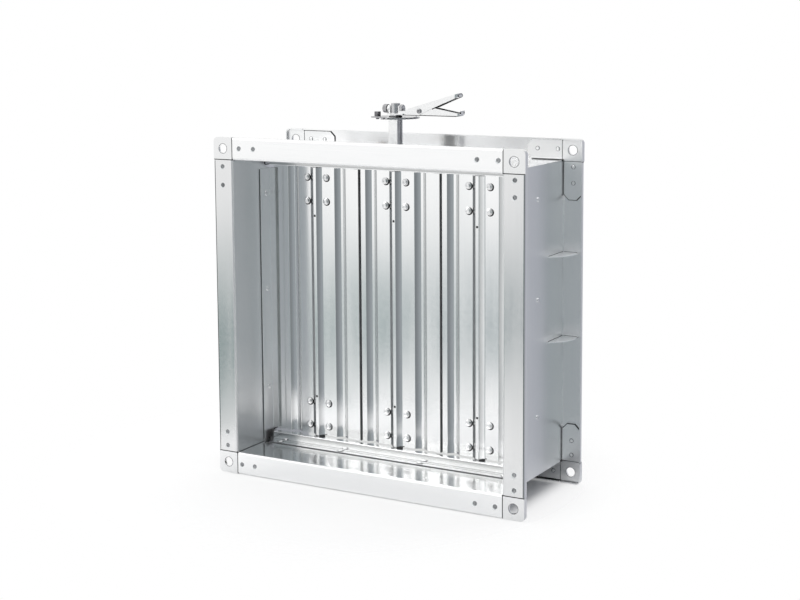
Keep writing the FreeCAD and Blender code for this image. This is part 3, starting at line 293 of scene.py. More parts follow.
@dataclass(frozen=True)
class GalvanisedSheet(Finish):
    """Bright hot-dip galvanised sheet: faint crystals, rolling streaks and soft waves; some sheets carry bands of
    painted shade.
    """

    name: str
    grain: Grain = Grain.UPRIGHT
    light: tuple = (0.99, 0.99, 0.99)
    dark: tuple = (0.945, 0.95, 0.955)
    smooth: float = 0.09
    rough: float = 0.16
    satin: float = 0.0
    face_tone: float = 1.0
    folds: Folds | None = None
    # Bands of painted shade, or None for a sheet without them.
    shade_bands: ShadeBands | None = None
    wave: float = 0.0010
    crystal_scale: float = 260.0
    streak_scale: float = 420.0
    band_scale: float = 34.0
    cloud_scale: float = 5.0
    wave_scale: float = 12.0
    face_start: tuple = (0.0886, 0.0896)
    fold_rough: float = 0.42
    # Colour that the painted shade bands darken the sheet towards.
    shade_colour: tuple = (0.06, 0.065, 0.065)

    def shader(self, tree: Tree) -> Signal:
        """Build the sheet's surface shader.

        Args:
            tree: The nodes that it is built in.

        Returns:
            The shader.
        """
        spot = tree.place()
        along = tree.place(self.grain.value)
        crystals = tree.node("ShaderNodeTexVoronoi", {"feature": "F1"},
                             {"Vector": spot, "Scale": self.crystal_scale}, "Color")
        crystal = tree.node("ShaderNodeSeparateColor", {}, {"Color": crystals}, 0)
        streaks = tree.noise(along, self.streak_scale, 3.0, 0.6)
        bands = tree.noise(along, self.band_scale)
        clouds = tree.noise(spot, self.cloud_scale)
        tone = (streaks * 0.40 + bands * 0.30 + clouds * 0.20 + crystal * 0.10).between(0.25, 0.75)
        colour = tree.blend(tone, self.dark, self.light)
        dull = (bands * 0.6 + clouds * 0.4).between(0.35, 0.68)
        rough = self.smooth + dull * (self.rough - self.smooth) + crystal * 0.015
        if self.satin:
            face = tree.along("Y").size().between(*self.face_start)
            rough = rough + (1 - face) * self.satin
            colour = tree.blend(face * (1.0 - self.face_tone), colour, (0.0, 0.0, 0.0))
        # Painted shade: the bands darken the colour towards the shade colour; on sheets with a satin inside, not on
        # the flange faces.
        if self.shade_bands:
            clear = 1 - face if self.satin else 1.0
            colour = tree.blend(self.shade_bands.mask(tree) * clear, colour, self.shade_colour)
        if self.folds:
            rough = rough + self.folds.mask(tree) * self.fold_rough
        swell = tree.noise(tree.place((1.0, 1.0, 0.35), (0.3, 0.1, 0.7)), self.wave_scale, 1.0)
        waves = tree.bump(swell, self.wave, 0.5)
        fine = tree.node("ShaderNodeBump", {}, {"Height": streaks * 0.95 + crystal * 0.05, "Distance": 0.000010,
                                                "Strength": 0.3, "Normal": waves}, "Normal")
        return tree.surface(colour, rough, fine)


@dataclass(frozen=True)
class Steel(Finish):
    """Plated or turned steel, also used dark for lines and dimples of painted shade: fine marks over soft clouds, in
    tone and relief.

    The marks are their stretch, their waves per metre, their octaves and the finer octaves' strength.
    """

    name: str
    light: tuple = (0.97, 0.97, 0.97)
    dark: tuple = (0.84, 0.845, 0.85)
    smooth: float = 0.14
    rough: float = 0.26
    marks: tuple = ((1.0, 0.08, 1.0), 420.0, 3.0, 0.65)
    cloud: float = 60.0
    share: float = 0.4
    tones: tuple = (0.32, 0.66)
    relief: tuple = (0.6, 0.5)

    def shader(self, tree: Tree) -> Signal:
        """Build the steel's surface shader.

        Args:
            tree: The nodes that it is built in.

        Returns:
            The shader.
        """
        stretch, *waves = self.marks
        marks = tree.noise(tree.place(stretch), *waves)
        cloud = tree.noise(tree.place(), self.cloud, 3.0, 0.6)
        tone = (marks * self.share + cloud * (1 - self.share)).between(*self.tones)
        rough = self.smooth + cloud.between(0.3, 0.7) * (self.rough - self.smooth)
        share, strength = self.relief
        normal = tree.bump(marks * share + cloud * (1 - share), 0.00003, strength)
        return tree.surface(tree.blend(tone, self.dark, self.light), rough, normal)


@dataclass(frozen=True)
class Porous(Finish):
    """Matte cellular rubber and foam, the flat dark and pale matte of painted shade and painted highlights, or
    sintered bronze, whose pores are sharper.
    """

    name: str
    light: tuple = (0.050, 0.050, 0.052)
    dark: tuple = (0.018, 0.018, 0.019)
    sintered: bool = False
    pores: tuple = (1100.0, 3.0, 0.6)
    cloud: float = 40.0
    smooth: float = 0.72
    relief: tuple = (0.00012, 0.7)

    def shader(self, tree: Tree) -> Signal:
        """Build the porous surface shader.

        Args:
            tree: The nodes that it is built in.

        Returns:
            The shader.
        """
        pores = tree.noise(tree.place(), *self.pores)
        cloud = tree.noise(tree.place(), self.cloud, 3.0, 0.6)
        colour = tree.blend((pores * 0.4 + cloud * 0.6).between(0.3, 0.7), self.dark, self.light)
        rough = self.smooth + (cloud if self.sintered else pores) * 0.16
        normal = tree.bump(pores.between(0.3, 0.55) if self.sintered else pores, *self.relief)
        return tree.surface(colour, rough, normal, 1.0 if self.sintered else 0.0)


@dataclass(frozen=True)
class StudioFloor(Finish):
    """Pale matte floor under the object, which fades into the white surroundings.

    A dark patch at its front right is seen only in the metal.
    """

    name: str = "studio_floor"
    tone: tuple = (0.95, 0.95, 0.95)
    grit: float = 14.0
    grit_tone: float = 0.985
    middle: tuple = (0.10, 0.0, 0.0)
    near: float = 0.28
    far: float = 0.42
    under: tuple = (0.19, 0.07)
    under_fade: float = 0.03
    glow: float = 0.68
    patch_right: tuple = (0.20, 0.27)
    patch_front: tuple = (-0.10, -0.03)
    patch: tuple = (0.26, 0.29, 0.30)

    def shader(self, tree: Tree) -> Signal:
        """Build the floor's surface shader.

        Args:
            tree: The nodes that it is built in.

        Returns:
            The shader.
        """
        grit = tree.noise(tree.place(), self.grit)
        tone = tree.blend(grit, tuple(self.grit_tone * part for part in self.tone), self.tone)
        right, front = tree.along("X").between(*self.patch_right), 1 - tree.along("Y").between(*self.patch_front)
        mirrored = tree.node("ShaderNodeLightPath", {}, {}, "Is Glossy Ray")
        tone = tree.blend(mirrored * right * front, tone, self.patch)
        matte = tree.node("ShaderNodeBsdfDiffuse", {}, {"Color": tone})
        glow = tree.node("ShaderNodeEmission", {}, {"Color": (1.0, 1.0, 1.0, 1.0), "Strength": 1.0})
        rays = tree.node("ShaderNodeLightPath", {}, {}, "Is Camera Ray")
        wide, deep = (tree.along(axis).size().between(reach, reach + self.under_fade)
                      for axis, reach in zip("XY", self.under))
        lit = tree.node("ShaderNodeMixShader", {}, {0: rays * self.glow * wide.higher(deep), 1: matte, 2: glow})
        spot = tree.place(shift=self.middle)
        reach = tree.node("ShaderNodeVectorMath", {"operation": "LENGTH"}, {0: spot}, "Value")
        clear = tree.node("ShaderNodeBsdfTransparent", {}, {})
        return tree.node("ShaderNodeMixShader", {}, {0: reach.between(self.near, self.far), 1: lit, 2: clear})


def circle(steps: int) -> list:
    """List the cosines and sines of a full turn in pairs, with the first pair again at the end."""
    turns = [2 * math.pi * step / steps for step in range(steps + 1)]
    return [(math.cos(turn), math.sin(turn)) for turn in turns]


@dataclass
class Solid:
    """One piece of mesh, built up in its place in the frame."""

    name: str
    body: str
    slot: str
    finish: Finish
    mesh: bmesh.types.BMesh = field(default_factory=bmesh.new)
    crease: float = math.radians(32.0)

    def turned(self, profile: tuple | list, spot: tuple, turn: Turn, steps: int = 24) -> None:
        """Turn a profile, pairs of radius and height in millimetres from rim to middle, round an axis."""
        self.ringed([[(radius, height)] * steps for radius, height in profile], spot, turn)

    def disc(self, radius: float, low: float, high: float, spot: tuple, turn: Turn, steps: int = 24) -> None:
        """Add a round disc between two levels along its axis."""
        self.turned([(0.0, low), (radius, low), (radius, high), (0.0, high)], spot, turn, steps)

    def riveted(self, head: tuple, tail: tuple, turn: Turn) -> None:
        """Add a rivet: its head at one spot, and its tail at the other one, the other way."""
        self.turned(RIVET_HEAD, head, turn)
        self.turned(RIVET_TAIL, tail, turn.back)

    def ringed(self, rings: list, spot: tuple, turn: Turn) -> None:
        """Join rings of points, each given by its radius and height at every step.

        Args:
            rings: Rings of pairs of radius and height in millimetres; a zero radius makes one point.
            spot: Foot of the axis, in millimetres.
            turn: Direction of the axis.
        """
        axis = Vector(turn.value)
        first = Vector((1, 0, 0)) if abs(axis.x) < 0.5 else Vector((0, 0, 1))
        second = axis.cross(first)
        foot = Vector(spot)
        loops = []
        for ring in rings:
            sides = zip(ring[:1] if ring[0][0] == 0 else ring, circle(len(ring)))
            loops.append([foot + (first * out + second * rise) * radius + axis * height
                          for (radius, height), (out, rise) in sides])
        self.skin(loops)

    def skin(self, rings: list, closed: bool = False) -> None:
        """Join rings of points.

        Args:
            rings: Rings with as many points, in millimetres; a ring may also be a single point.
            closed: Whether the first and the last ring get a face of their own.
        """
        loops = [[self.mesh.verts.new(Vector(spot) * MM) for spot in ring] for ring in rings]
        for low, high in zip(loops, loops[1:]):
            steps = max(len(low), len(high))
            for step in range(steps):
                after = (step + 1) % steps
                corners = dict.fromkeys((low[step % len(low)], low[after % len(low)], high[after % len(high)],
                                         high[step % len(high)]))
                if len(corners) > 2:
                    self.mesh.faces.new(list(corners))
        if closed:
            self.mesh.faces.new(list(reversed(loops[0])))
            self.mesh.faces.new(loops[-1])

    def hexed(self, flat: float, low: float, high: float, bevel: float, spot: tuple, turn: Turn,
              corner: int = 30) -> None:
        """Add a hexagon with its upper corners turned off, as on a bolt head or nut.

        Args:
            flat: Half the width across the flats.
            low: Underside along the axis.
            high: Top along the axis.
            bevel: Height of the turned corners.
            spot: Foot of the axis, in millimetres.
            turn: Direction of the axis.
            corner: Degrees to the first corner.
        """
        turns = [step * 360 / HEX_STEPS for step in range(HEX_STEPS)]
        reach = [flat / math.cos(math.radians((turn - corner) % 60 - 30)) for turn in turns]
        drop = [max(0.0, (radius - flat) * bevel / (flat * HEX_CORNER)) for radius in reach]
        self.ringed([[(0, low)],
                     [(radius, low) for radius in reach],
                     [(radius, high - fall) for radius, fall in zip(reach, drop)],
                     [(flat * HEX_CAP, high)] * HEX_STEPS, [(0, high)]], spot, turn)

    def block(self, corner: tuple, other: tuple) -> None:
        """Add a straight block between two opposite corners.

        Args:
            corner: One corner, in millimetres.
            other: The other corner.
        """
        (left, right), (front, back), (low, high) = (sorted(pair) for pair in zip(corner, other))
        section = ((left, front), (right, front), (right, back), (left, back))
        self.skin([[(x, y, z) for x, y in section] for z in (low, high)], True)

    def strip(self, path: list, width: float, near: float, far: float) -> None:
        """Add a flat line that stands across the air path, one straight bar for each run.

        Args:
            path: Points in X and Z, in millimetres.
            width: Width of the line.
            near: Its front along Y.
            far: Its back along Y.
        """
        for start, end in zip(path, path[1:]):
            run = Vector((end[0] - start[0], end[1] - start[1])).normalized() * width / 2
            across = Vector((-run.y, run.x))
            corners = [Vector(start) - run - across, Vector(end) + run - across,
                       Vector(end) + run + across, Vector(start) - run + across]
            self.skin([[(spot.x, y, spot.y) for spot in corners] for y in (near, far)], True)

    def swept(self, path: tuple | list, radius: float, steps: int) -> None:
        """Add a round wire along a path.

        Args:
            path: Points in millimetres.
            radius: Radius of the wire.
            steps: Sides round the wire.
        """
        points = [Vector(spot) for spot in path]
        loops = []
        across = None
        for index, point in enumerate(points):
            ahead = (points[min(index + 1, len(points) - 1)] - points[max(index - 1, 0)]).normalized()
            if across is None:
                across = ahead.orthogonal().normalized()
            across = (across - ahead * across.dot(ahead)).normalized()
            third = ahead.cross(across)
            loops.append([point + (across * out + third * rise) * radius for out, rise in circle(steps)[:-1]])
        self.skin(loops, True)

    def turn_about(self, axis_x: float, degrees: float) -> None:
        """Lean everything so far about an upright axis.

        Args:
            axis_x: The axis's place along X, in millimetres.
            degrees: The lean, seen from above.
        """
        spin = Matrix.Translation((axis_x * MM, 0, 0)) @ Matrix.Rotation(math.radians(degrees), 4, "Z")
        spin = spin @ Matrix.Translation((-axis_x * MM, 0, 0))
        bmesh.ops.transform(self.mesh, matrix=spin, verts=self.mesh.verts)

    def finished(self, *nodes: str) -> None:
        """Turn the mesh into a piece on its body.

        Args:
            *nodes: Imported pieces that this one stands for.
        """
        bmesh.ops.recalc_face_normals(self.mesh, faces=self.mesh.faces)
        for face in self.mesh.faces:
            face.smooth = True
        for edge in self.mesh.edges:
            if len(edge.link_faces) == 2 and edge.calc_face_angle() > self.crease:
                edge.smooth = False
        data = bpy.data.meshes.new(self.name)
        self.mesh.to_mesh(data)
        self.mesh.free()
        data.materials.append(self.finish.material())
        piece = bpy.data.objects.new(self.name, data)
        bpy.context.scene.collection.objects.link(piece)
        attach(piece, self.body)
        if nodes:
            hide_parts(*nodes)
        log.info("%s: %d faces on %s%s", self.name, len(data.polygons), self.body,
                 ", for " + ", ".join(nodes) if nodes else "")


# Painted shade: darker bands on the slopes of each blade's ridge and grooves.
BLADE_SHADE_BANDS = ((-0.0470, -0.0400, 0.36, 0.9), (-0.0360, -0.0290, 0.34, 0.0), (-0.0090, -0.0026, 0.58, 0.0),
               (0.0024, 0.0090, 0.34, 0.9), (0.0290, 0.0360, 0.40, 0.9), (0.0400, 0.0470, 0.30, 0.0))
# Painted shade: a darker band, fading out, on the stop rails' walls, and a thin dark line just above their feet.
RAIL_SHADE_BANDS = ((0.1886, 0.1955, 0.46, 1.0), (0.1974, 0.1983, 0.45, 0.0))
# Painted shade: colour darker just above the bottom panel, fading out upwards, on the left panel and the side stops.
LOW_SHADE = ShadeBands("Z", ((0.030, 0.170, 0.29, 1.0),), pitch=2.0)
SHEET_UPRIGHT = GalvanisedSheet("galvanised_upright", Grain.UPRIGHT, satin=0.205, face_tone=0.83, folds=Folds())
SHEET_LEFT = replace(SHEET_UPRIGHT, name="galvanised_left", shade_bands=LOW_SHADE)
SHEET_LEVEL = GalvanisedSheet("galvanised_level", Grain.WIDE, wave=0.0006, satin=0.04, folds=Folds("Z", 0.230))
# Painted reflection: a soft dark patch on the rear flange's front face, just above the top panel.
DARK_REFLECTION_PATCH = ShadeBands("X", ((0.0307, 0.0520, 0.75, 0.78),), pitch=2.0, edge=0.0154,
                 limits=(("Y", 0.080, 0.086), ("Z", 0.4325, 0.4335)))
SHEET_ROOF = replace(SHEET_LEVEL, name="galvanised_roof", shade_bands=DARK_REFLECTION_PATCH)
SHEET_WIDE = GalvanisedSheet("galvanised_wide", Grain.WIDE, wave=0.0006, smooth=0.16, rough=0.24,
                             shade_bands=ShadeBands("Z", RAIL_SHADE_BANDS, 0.230))
SHEET_STOP = GalvanisedSheet("galvanised_stop", Grain.UPRIGHT, wave=0.0003, smooth=0.30, rough=0.36,
                             shade_bands=LOW_SHADE)
SHEET_CORNER = GalvanisedSheet("galvanised_corner", Grain.EVEN, wave=0.0003, smooth=0.12, rough=0.20, satin=0.18,
                               face_tone=0.90)
# Painted shade: dark outline lines at the flanges' edges, round the corner holes and along the gussets.
SHADE_LINE = Steel("painted_shade_line", (0.16, 0.165, 0.17), (0.08, 0.082, 0.085))
SHEET_GUSSET = GalvanisedSheet("galvanised_gusset", Grain.EVEN, wave=0.0002, smooth=0.45, rough=0.55)
SHEET_RIM = Steel("galvanised_rim", (0.99, 0.99, 0.99), (0.93, 0.93, 0.935), smooth=0.3, rough=0.4)
SHEET_BLADE = GalvanisedSheet("galvanised_blade", Grain.UPRIGHT, wave=0.0008,
                              shade_bands=ShadeBands("X", BLADE_SHADE_BANDS, pitch=0.1236))
# Painted shade: the clinches' dimples and grooves are dark where shade falls in them.
CLINCH_SHADE = Steel("clinch_painted_shade", (0.42, 0.43, 0.44), (0.16, 0.165, 0.17), smooth=0.12, rough=0.22)
PLATED_HANDLE = Steel("plated_handle_steel")
PLATED_FASTENER = Steel("plated_fastener_steel", (0.97, 0.97, 0.97), (0.78, 0.78, 0.79), smooth=0.16, rough=0.34)
TURNED = Steel("turned_axle_steel", (0.68, 0.68, 0.69), (0.46, 0.46, 0.47), smooth=0.30, rough=0.44, cloud=45.0,
               marks=((0.02, 0.02, 1.0), 900.0, 2.0, 0.5), share=0.5, tones=(0.3, 0.7), relief=(1.0, 0.6))
PALE_HUB = Steel("pale_hub_steel", (1.0, 1.0, 1.0), (0.93, 0.93, 0.93), smooth=0.55, rough=0.65)
QUADRANT = Steel("quadrant_steel", (0.62, 0.62, 0.63), (0.36, 0.36, 0.37))
BLACK_BOLT = Steel("black_bolt_steel", (0.26, 0.26, 0.27), (0.10, 0.10, 0.105))
DARK_BOLT = Steel("dark_bolt_steel", (0.60, 0.60, 0.61), (0.26, 0.26, 0.27), smooth=0.12, rough=0.26)
SPRING = Steel("spring_steel_wire", (0.56, 0.56, 0.57), (0.30, 0.30, 0.31))
BUSH = Porous("sintered_bronze", (0.72, 0.53, 0.30), (0.45, 0.31, 0.17), sintered=True,
              pores=(1500.0, 2.0, 0.6), cloud=120.0, smooth=0.34, relief=(0.00006, 0.6))
# Flat black for painted shade: strips, lines, crescents and plugs that stand for shadows in gaps, under edges and in
# holes; also the lever end's dark dots.
DARK_MATTE = Porous("dark_matte")
EDGE_RUBBER = Porous("blade_edge_rubber", (0.12, 0.122, 0.125), (0.06, 0.061, 0.063))
STOP_FOAM = Porous("grey_stop_foam", (0.50, 0.52, 0.52), (0.42, 0.44, 0.44))
# Painted highlight: pale matte wires and discs that stand for bright bend lines and glints on the folds, the gussets'
# edges and the clinches.
PAINTED_HIGHLIGHT = Porous("painted_highlight_zinc", (0.90, 0.92, 0.92), (0.80, 0.83, 0.84))
# Painted shade: grey matte lines along the duct's corners, the rails' feet and the side stops' edges, and crescents
# under the lower rail rivets.
SHADE_GREY = Porous("painted_shade_grey", (0.16, 0.165, 0.17), (0.09, 0.092, 0.095))


@dataclass
class Dresser:
    """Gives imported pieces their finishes."""

    nodes: dict

    def dress(self, finish: Finish, *names: str) -> None:
        """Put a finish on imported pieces.

        Args:
            finish: The finish.
            *names: The pieces' names.
        """
        for name in names:
            item = self.nodes[name]
            item.data.materials.clear()
            item.data.materials.append(finish.material())
            for face in item.data.polygons:
                face.material_index = 0
            log.info("%s: %s", name, finish.name)


@dataclass
class Casing:
    """Flanged casing with its corner pieces, rails, stops, bushes and rivets, and thin lines of painted shade and
    painted highlight.

    Lengths are millimetres. Those that are mirrored are measured from the duct's axis.
    """

    half: float = 230.0
    middle: float = 230.0
    face: float = 90.0
    pitch: float = 123.6
    clinch_across: float = 14.0
    clinch_places: tuple = (((-1, 1), (41.0, 64.0), (39.0, 64.0)), ((1, 1), (36.0, 65.0), (37.0, 58.0)),
                            ((-1, -1), (37.0, 58.0), (38.0, 57.0)), ((1, -1), (40.0, 68.0), (38.5, 58.0)))
    clinch_profile: tuple = ((3.1, 0.0), (2.9, 0.32), (2.3, 0.46), (1.75, 0.40), (1.45, 0.12), (0.0, 0.06))
    clinch_highlight_profile: tuple = ((3.3, 0.0), (3.2, 0.05), (0.0, 0.05))
    clinch_highlight_shift: tuple = (-0.8, -1.0)
    groove_profile: tuple = ((3.0, 0.0), (3.0, 0.30), (2.1, 0.30), (2.1, 0.0))
    button_profile: tuple = ((2.2, 0.0), (2.2, 0.35), (1.6, 0.6), (0.0, 0.7))
    seam_lines: tuple = (199.6, 200.8, 229.4)
    seam_depths: tuple = (88.6, 90.08)
    line_width: float = 0.7
    edge_line: float = 228.5
    edge_rise: float = 198.5
    edge_depths: tuple = ((-90.1, -89.8), (88.2, 88.7))
    square_line: float = 200.3
    square_depths: tuple = (86.75, 87.05)
    hole_place: float = 215.0
    hole_rim: float = 6.6
    hole_steps: int = 32
    hole_wire: tuple = (0.3, 6)
    hole_depths: tuple = (-90.05, 86.9)
    leg_start: float = 201.0
    leg_end: float = 149.6
    leg_low: float = 202.4
    leg_high: float = 227.6
    leg_chamfer: float = 7.0
    leg_face: float = 87.0
    leg_bead: float = 0.9
    leg_depths: tuple = ((-88.5, -87.4), (87.4, 88.5))
    gusset_levels: tuple = (80.0, -32.0)
    gusset_centre: tuple = (174.85, 79.58)
    gusset_radius: float = 48.78
    gusset_ends: tuple = ((201.9, 39.2), (223.1, 88.2))
    rim_steps: int = 24
    rim_wire: tuple = (0.85, 10)
    gusset_line_path: tuple = ((201.7, 42.0), (201.7, 87.2), (203.0, 88.6), (222.0, 88.6))
    gusset_line_rises: tuple = (-0.9, 0.9)
    gusset_line_wire: tuple = (0.4, 6)
    fold_highlight: tuple = ((202.2, 87.9, -149.0), (202.2, 87.9, 149.0))
    fold_wire: tuple = (0.8, 8)
    rail_outline: tuple = ((199.5, -14.5, 199.3), (199.5, -14.5, 188.6), (199.5, -13.5, 187.5), (199.5, 13.5, 187.5),
                           (199.5, 14.5, 188.6), (199.5, 14.5, 199.3))
    rail_wire: tuple = (0.6, 8)
    stop_highlight: tuple = ((198.6, -183.5), (198.6, 181.0))
    stop_highlight_places: tuple = ((-1, -5.6), (-1, -26.6), (1, 5.6), (1, 26.6))
    stop_wire: tuple = (0.45, 8)
    shade_patch_sides: tuple = (2.2, 9.4)
    shade_patch_depths: tuple = (-6.6, -2.6)
    shade_patch_levels: tuple = ((42.3, 44.0), (416.0, 417.7))
    duct_seam: tuple = ((199.3, 26.6, 199.4), (200.2, 86.8, 200.2))
    foot_seam: tuple = ((-192.2, 26.4, 199.1), (192.2, 27.1, 200.1))
    stop_seams: tuple = (((-200.2, -28.0, 34.0), (-199.3, -27.3, 412.0)), ((199.3, 3.0, 34.0), (200.2, 3.7, 412.0)))
    rail_rivet_side: float = 20.5
    rail_rivet_shift: float = 45.0
    rail_rivet_end: float = 177.0
    rail_rivet_levels: tuple = ((31.2, 28.5, Turn.UP), (428.8, 431.5, Turn.DOWN))
    rivet_shadow: tuple = ((4.4, 0.0), (4.4, 0.25), (0.0, 0.25))
    rivet_shadow_shift: tuple = (0.5, -0.3)
    stop_rivet_ends: tuple = (198.8, 201.5)
    stop_rivets_at: tuple = ((-1, -13.4, (148.0, 15.0, -124.0)), (1, 9.8, (158.0, 29.0, -124.0)))

    def build(self, dresser: Dresser) -> None:
        """Dress the casing's pieces and add its small fittings.

        Args:
            dresser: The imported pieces' dresser.
        """
        dresser.dress(SHEET_LEFT, "left_panel")
        dresser.dress(SHEET_UPRIGHT, "right_panel")
        dresser.dress(SHEET_STOP, "left_side_stop", "right_side_stop")
        dresser.dress(SHEET_ROOF, "top_panel")
        dresser.dress(SHEET_LEVEL, "bottom_panel")
        dresser.dress(SHEET_WIDE, "top_stop_rail", "bottom_stop_rail")
        corners = ["%s_corner_%s_%s" % (end, high, side) for end in ("front", "rear")
                   for high in ("bottom", "top") for side in ("left", "right")]
        dresser.dress(SHEET_CORNER, *corners)
        dresser.dress(SHEET_GUSSET, "left_gussets", "right_gussets")
        dresser.dress(BUSH, "upper_bushes", "lower_bushes")
        dresser.dress(STOP_FOAM, "left_side_seal", "right_side_seal")
        self.clinches()
        self.seam_shade_strips()
        self.edge_lines()
        self.leg_shade_strips()
        self.gusset_rims_and_shade_lines()
        self.duct_lines()
        self.rail_rivets()
        self.stop_rivets()

    def mirrored(self, spot: tuple, side: int, deep: int, up: int) -> tuple:
        """Mirror a place about the duct's axis, by the signs along X, Y and Z."""
        return side * spot[0], deep * spot[1], self.middle + up * spot[2]

    def clinches(self) -> None:
        """Clinches that join the corner legs to the flanges, two to a leg, and their other ends on the legs; the
        dimples and the grooves round the other ends are dark with painted shade, and a pale disc off to the lower left
        of each dimple is a painted highlight.
        """
        centred = (0.0, 0.0)
        for name, finish, profile, (aside, down), face in (
                ("corner_clinches", CLINCH_SHADE, self.clinch_profile, centred, self.face),
                ("clinch_highlights", PAINTED_HIGHLIGHT, self.clinch_highlight_profile, self.clinch_highlight_shift, self.face),
                ("clinch_grooves", CLINCH_SHADE, self.groove_profile, centred, -self.leg_face),
                ("clinch_buttons", SHEET_RIM, self.button_profile, centred, -self.leg_face)):
            made = Solid(name, "casing", "galvanised_sheet", finish)
            for turn, deep in ((Turn.FRONT, -1), (Turn.BACK, 1)):
                for x, z in self.clinch_spots():
                    made.turned(profile, (x + aside, deep * face, z + down), turn)
            made.finished()

    def clinch_spots(self) -> list:
        """List the clinches' places.

        Returns:
            Pairs of X and Z in millimetres.
        """
        near = self.half - self.clinch_across
        spots = []
        for (side, up), level, upright in self.clinch_places:
            spots += [(side * (self.half - reach), self.middle + up * near) for reach in level]
            spots += [(side * near, self.middle + up * (self.half - reach)) for reach in upright]
        return spots

    def beads(self, name: str, slot: str, finish: Finish, paths: list, wire: tuple = ()) -> None:
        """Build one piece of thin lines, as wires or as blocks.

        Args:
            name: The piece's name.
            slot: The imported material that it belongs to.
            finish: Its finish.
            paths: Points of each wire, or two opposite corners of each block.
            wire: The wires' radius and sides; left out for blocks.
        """
        made = Solid(name, "casing", slot, finish)
        for path in paths:
            if wire:
                made.swept(path, *wire)
            else:
                made.block(*path)
        made.finished()

    def seam_shade_strips(self) -> None:
        """Painted shade: dark strips in the seams beside the corner squares, just under the flange's face."""
        near, far, end = self.seam_lines
        back, face = self.seam_depths
        self.beads("corner_seam_shade_strips", "seal_rubber", DARK_MATTE, [
            [self.mirrored(spot, side, deep, up) for spot in ((near, back, near), (wide, face, tall))]
            for side, up in CORNERS for deep in (-1, 1) for wide, tall in ((far, end), (end, far))])

    def edge_lines(self) -> None:
        """Fine dark lines of painted shade: along the flanges' outer edges, round the corner holes and beside the rear
        squares.
        """
        made = Solid("flange_edge_lines", "casing", "galvanised_sheet", SHADE_LINE)
        for side in (-1, 1):
            upright = [(side * self.edge_line, self.middle + end * self.edge_rise) for end in (-1, 1)]
            for depths in self.edge_depths:
                made.strip(upright, self.line_width, *depths)
        for side, up in CORNERS:
            square = ((self.square_line, self.edge_line), (self.square_line, self.square_line),
                      (self.edge_line, self.square_line))
            made.strip([(side * x, self.middle + up * z) for x, z in square], self.line_width, *self.square_depths)
            x, z = side * self.hole_place, self.middle + up * self.hole_place
            for y in self.hole_depths:
                rim = [(x + self.hole_rim * out, y, z + self.hole_rim * rise) for out, rise in circle(self.hole_steps)]
                made.swept(rim, *self.hole_wire)
        made.finished()

    def leg_shade_strips(self) -> None:
        """Painted shade: dark lines round the corner legs, in the channels; one rear leg has it along its lower edge
        only.
        """
        made = Solid("corner_leg_shade_strips", "casing", "seal_rubber", DARK_MATTE)
        start, end, low, high, cut = self.leg_start, self.leg_end, self.leg_low, self.leg_high, self.leg_chamfer
        outline = [(start, low), (end + cut, low), (end, low + cut), (end, high - cut), (end + cut, high),
                   (start, high)]
        for near, far in self.leg_depths:
            for side, up in CORNERS:
                for swap_axes in (False, True):
                    hidden = near > 0 and side > 0 and up > 0 and not swap_axes
                    path = [(z, x) if swap_axes else (x, z) for x, z in (outline[:2] if hidden else outline)]
                    made.strip([(side * x, self.middle + up * z) for x, z in path], self.leg_bead, near, far)
        made.finished()

    def gusset_rim(self) -> list:
        """Follow the bulging free edge of a gusset.

        Returns:
            Pairs of X and Y in millimetres.
        """
        centre_x, centre_y = self.gusset_centre
        start, finish = (math.atan2(y - centre_y, x - centre_x) for x, y in self.gusset_ends)
        turns = [start + (finish - start) * step / self.rim_steps for step in range(self.rim_steps + 1)]
        return [(centre_x + math.cos(turn) * self.gusset_radius, centre_y + math.sin(turn) * self.gusset_radius)
                for turn in turns]

    def gusset_rims_and_shade_lines(self) -> None:
        """Turned-over free edges of the gussets, pale as a painted highlight, and dark lines of painted shade on both
        sides of them where they meet the side panels and the flange.
        """
        ribs = [(side, level) for side in (-1, 1) for level in self.gusset_levels]
        rims = [[(side * x, y, self.middle + level) for x, y in self.gusset_rim()] for side, level in ribs]
        shade_lines = [[(side * x, y, self.middle + level + rise) for x, y in self.gusset_line_path]
                 for side, level in ribs for rise in self.gusset_line_rises]
        self.beads("gusset_rims", "galvanised_sheet", PAINTED_HIGHLIGHT, rims, self.rim_wire)
        self.beads("gusset_shade_lines", "galvanised_sheet", SHADE_LINE, shade_lines, self.gusset_line_wire)

    def duct_lines(self) -> None:
        """Lines in the duct: pale ones in the flanges' folds and beside the side stops are painted highlights, and
        dark ones round the rails' ends are painted shade.

        The rails also have small dark patches beside the axles, painted shadow, and dark lines of painted shade along
        their feet, in the duct's corners and beside the side stops.
        """
        folds = [[self.mirrored(spot, side, deep, 1) for spot in self.fold_highlight] for side, deep in CORNERS]
        ends = [[self.mirrored(spot, side, 1, up) for spot in self.rail_outline] for side, up in CORNERS]
        shade_patches = [[(axle + side, deep, level) for side, deep, level in zip(self.shade_patch_sides, self.shade_patch_depths, levels)]
                for axle in (-self.pitch, 0.0, self.pitch) for levels in self.shade_patch_levels]
        seams = [[self.mirrored(spot, side, deep, up) for spot in self.duct_seam]
                 for side, up in CORNERS for deep in (-1, 1)]
        seams += [[self.mirrored(spot, 1, deep, up) for spot in self.foot_seam] for deep, up in CORNERS]
        stops = [[self.mirrored((x, y, z), side, 1, 1) for x, z in self.stop_highlight]
                 for side, y in self.stop_highlight_places]
        self.beads("fold_highlights", "galvanised_sheet", PAINTED_HIGHLIGHT, folds, self.fold_wire)
        self.beads("rail_end_shade_strips", "seal_rubber", DARK_MATTE, ends, self.rail_wire)
        self.beads("axle_shade_patches", "seal_rubber", DARK_MATTE, shade_patches)
        self.beads("duct_seam_shade_strips", "seal_rubber", SHADE_GREY, [*seams, *self.stop_seams])
        self.beads("stop_fold_highlights", "galvanised_sheet", PAINTED_HIGHLIGHT, stops, self.stop_wire)

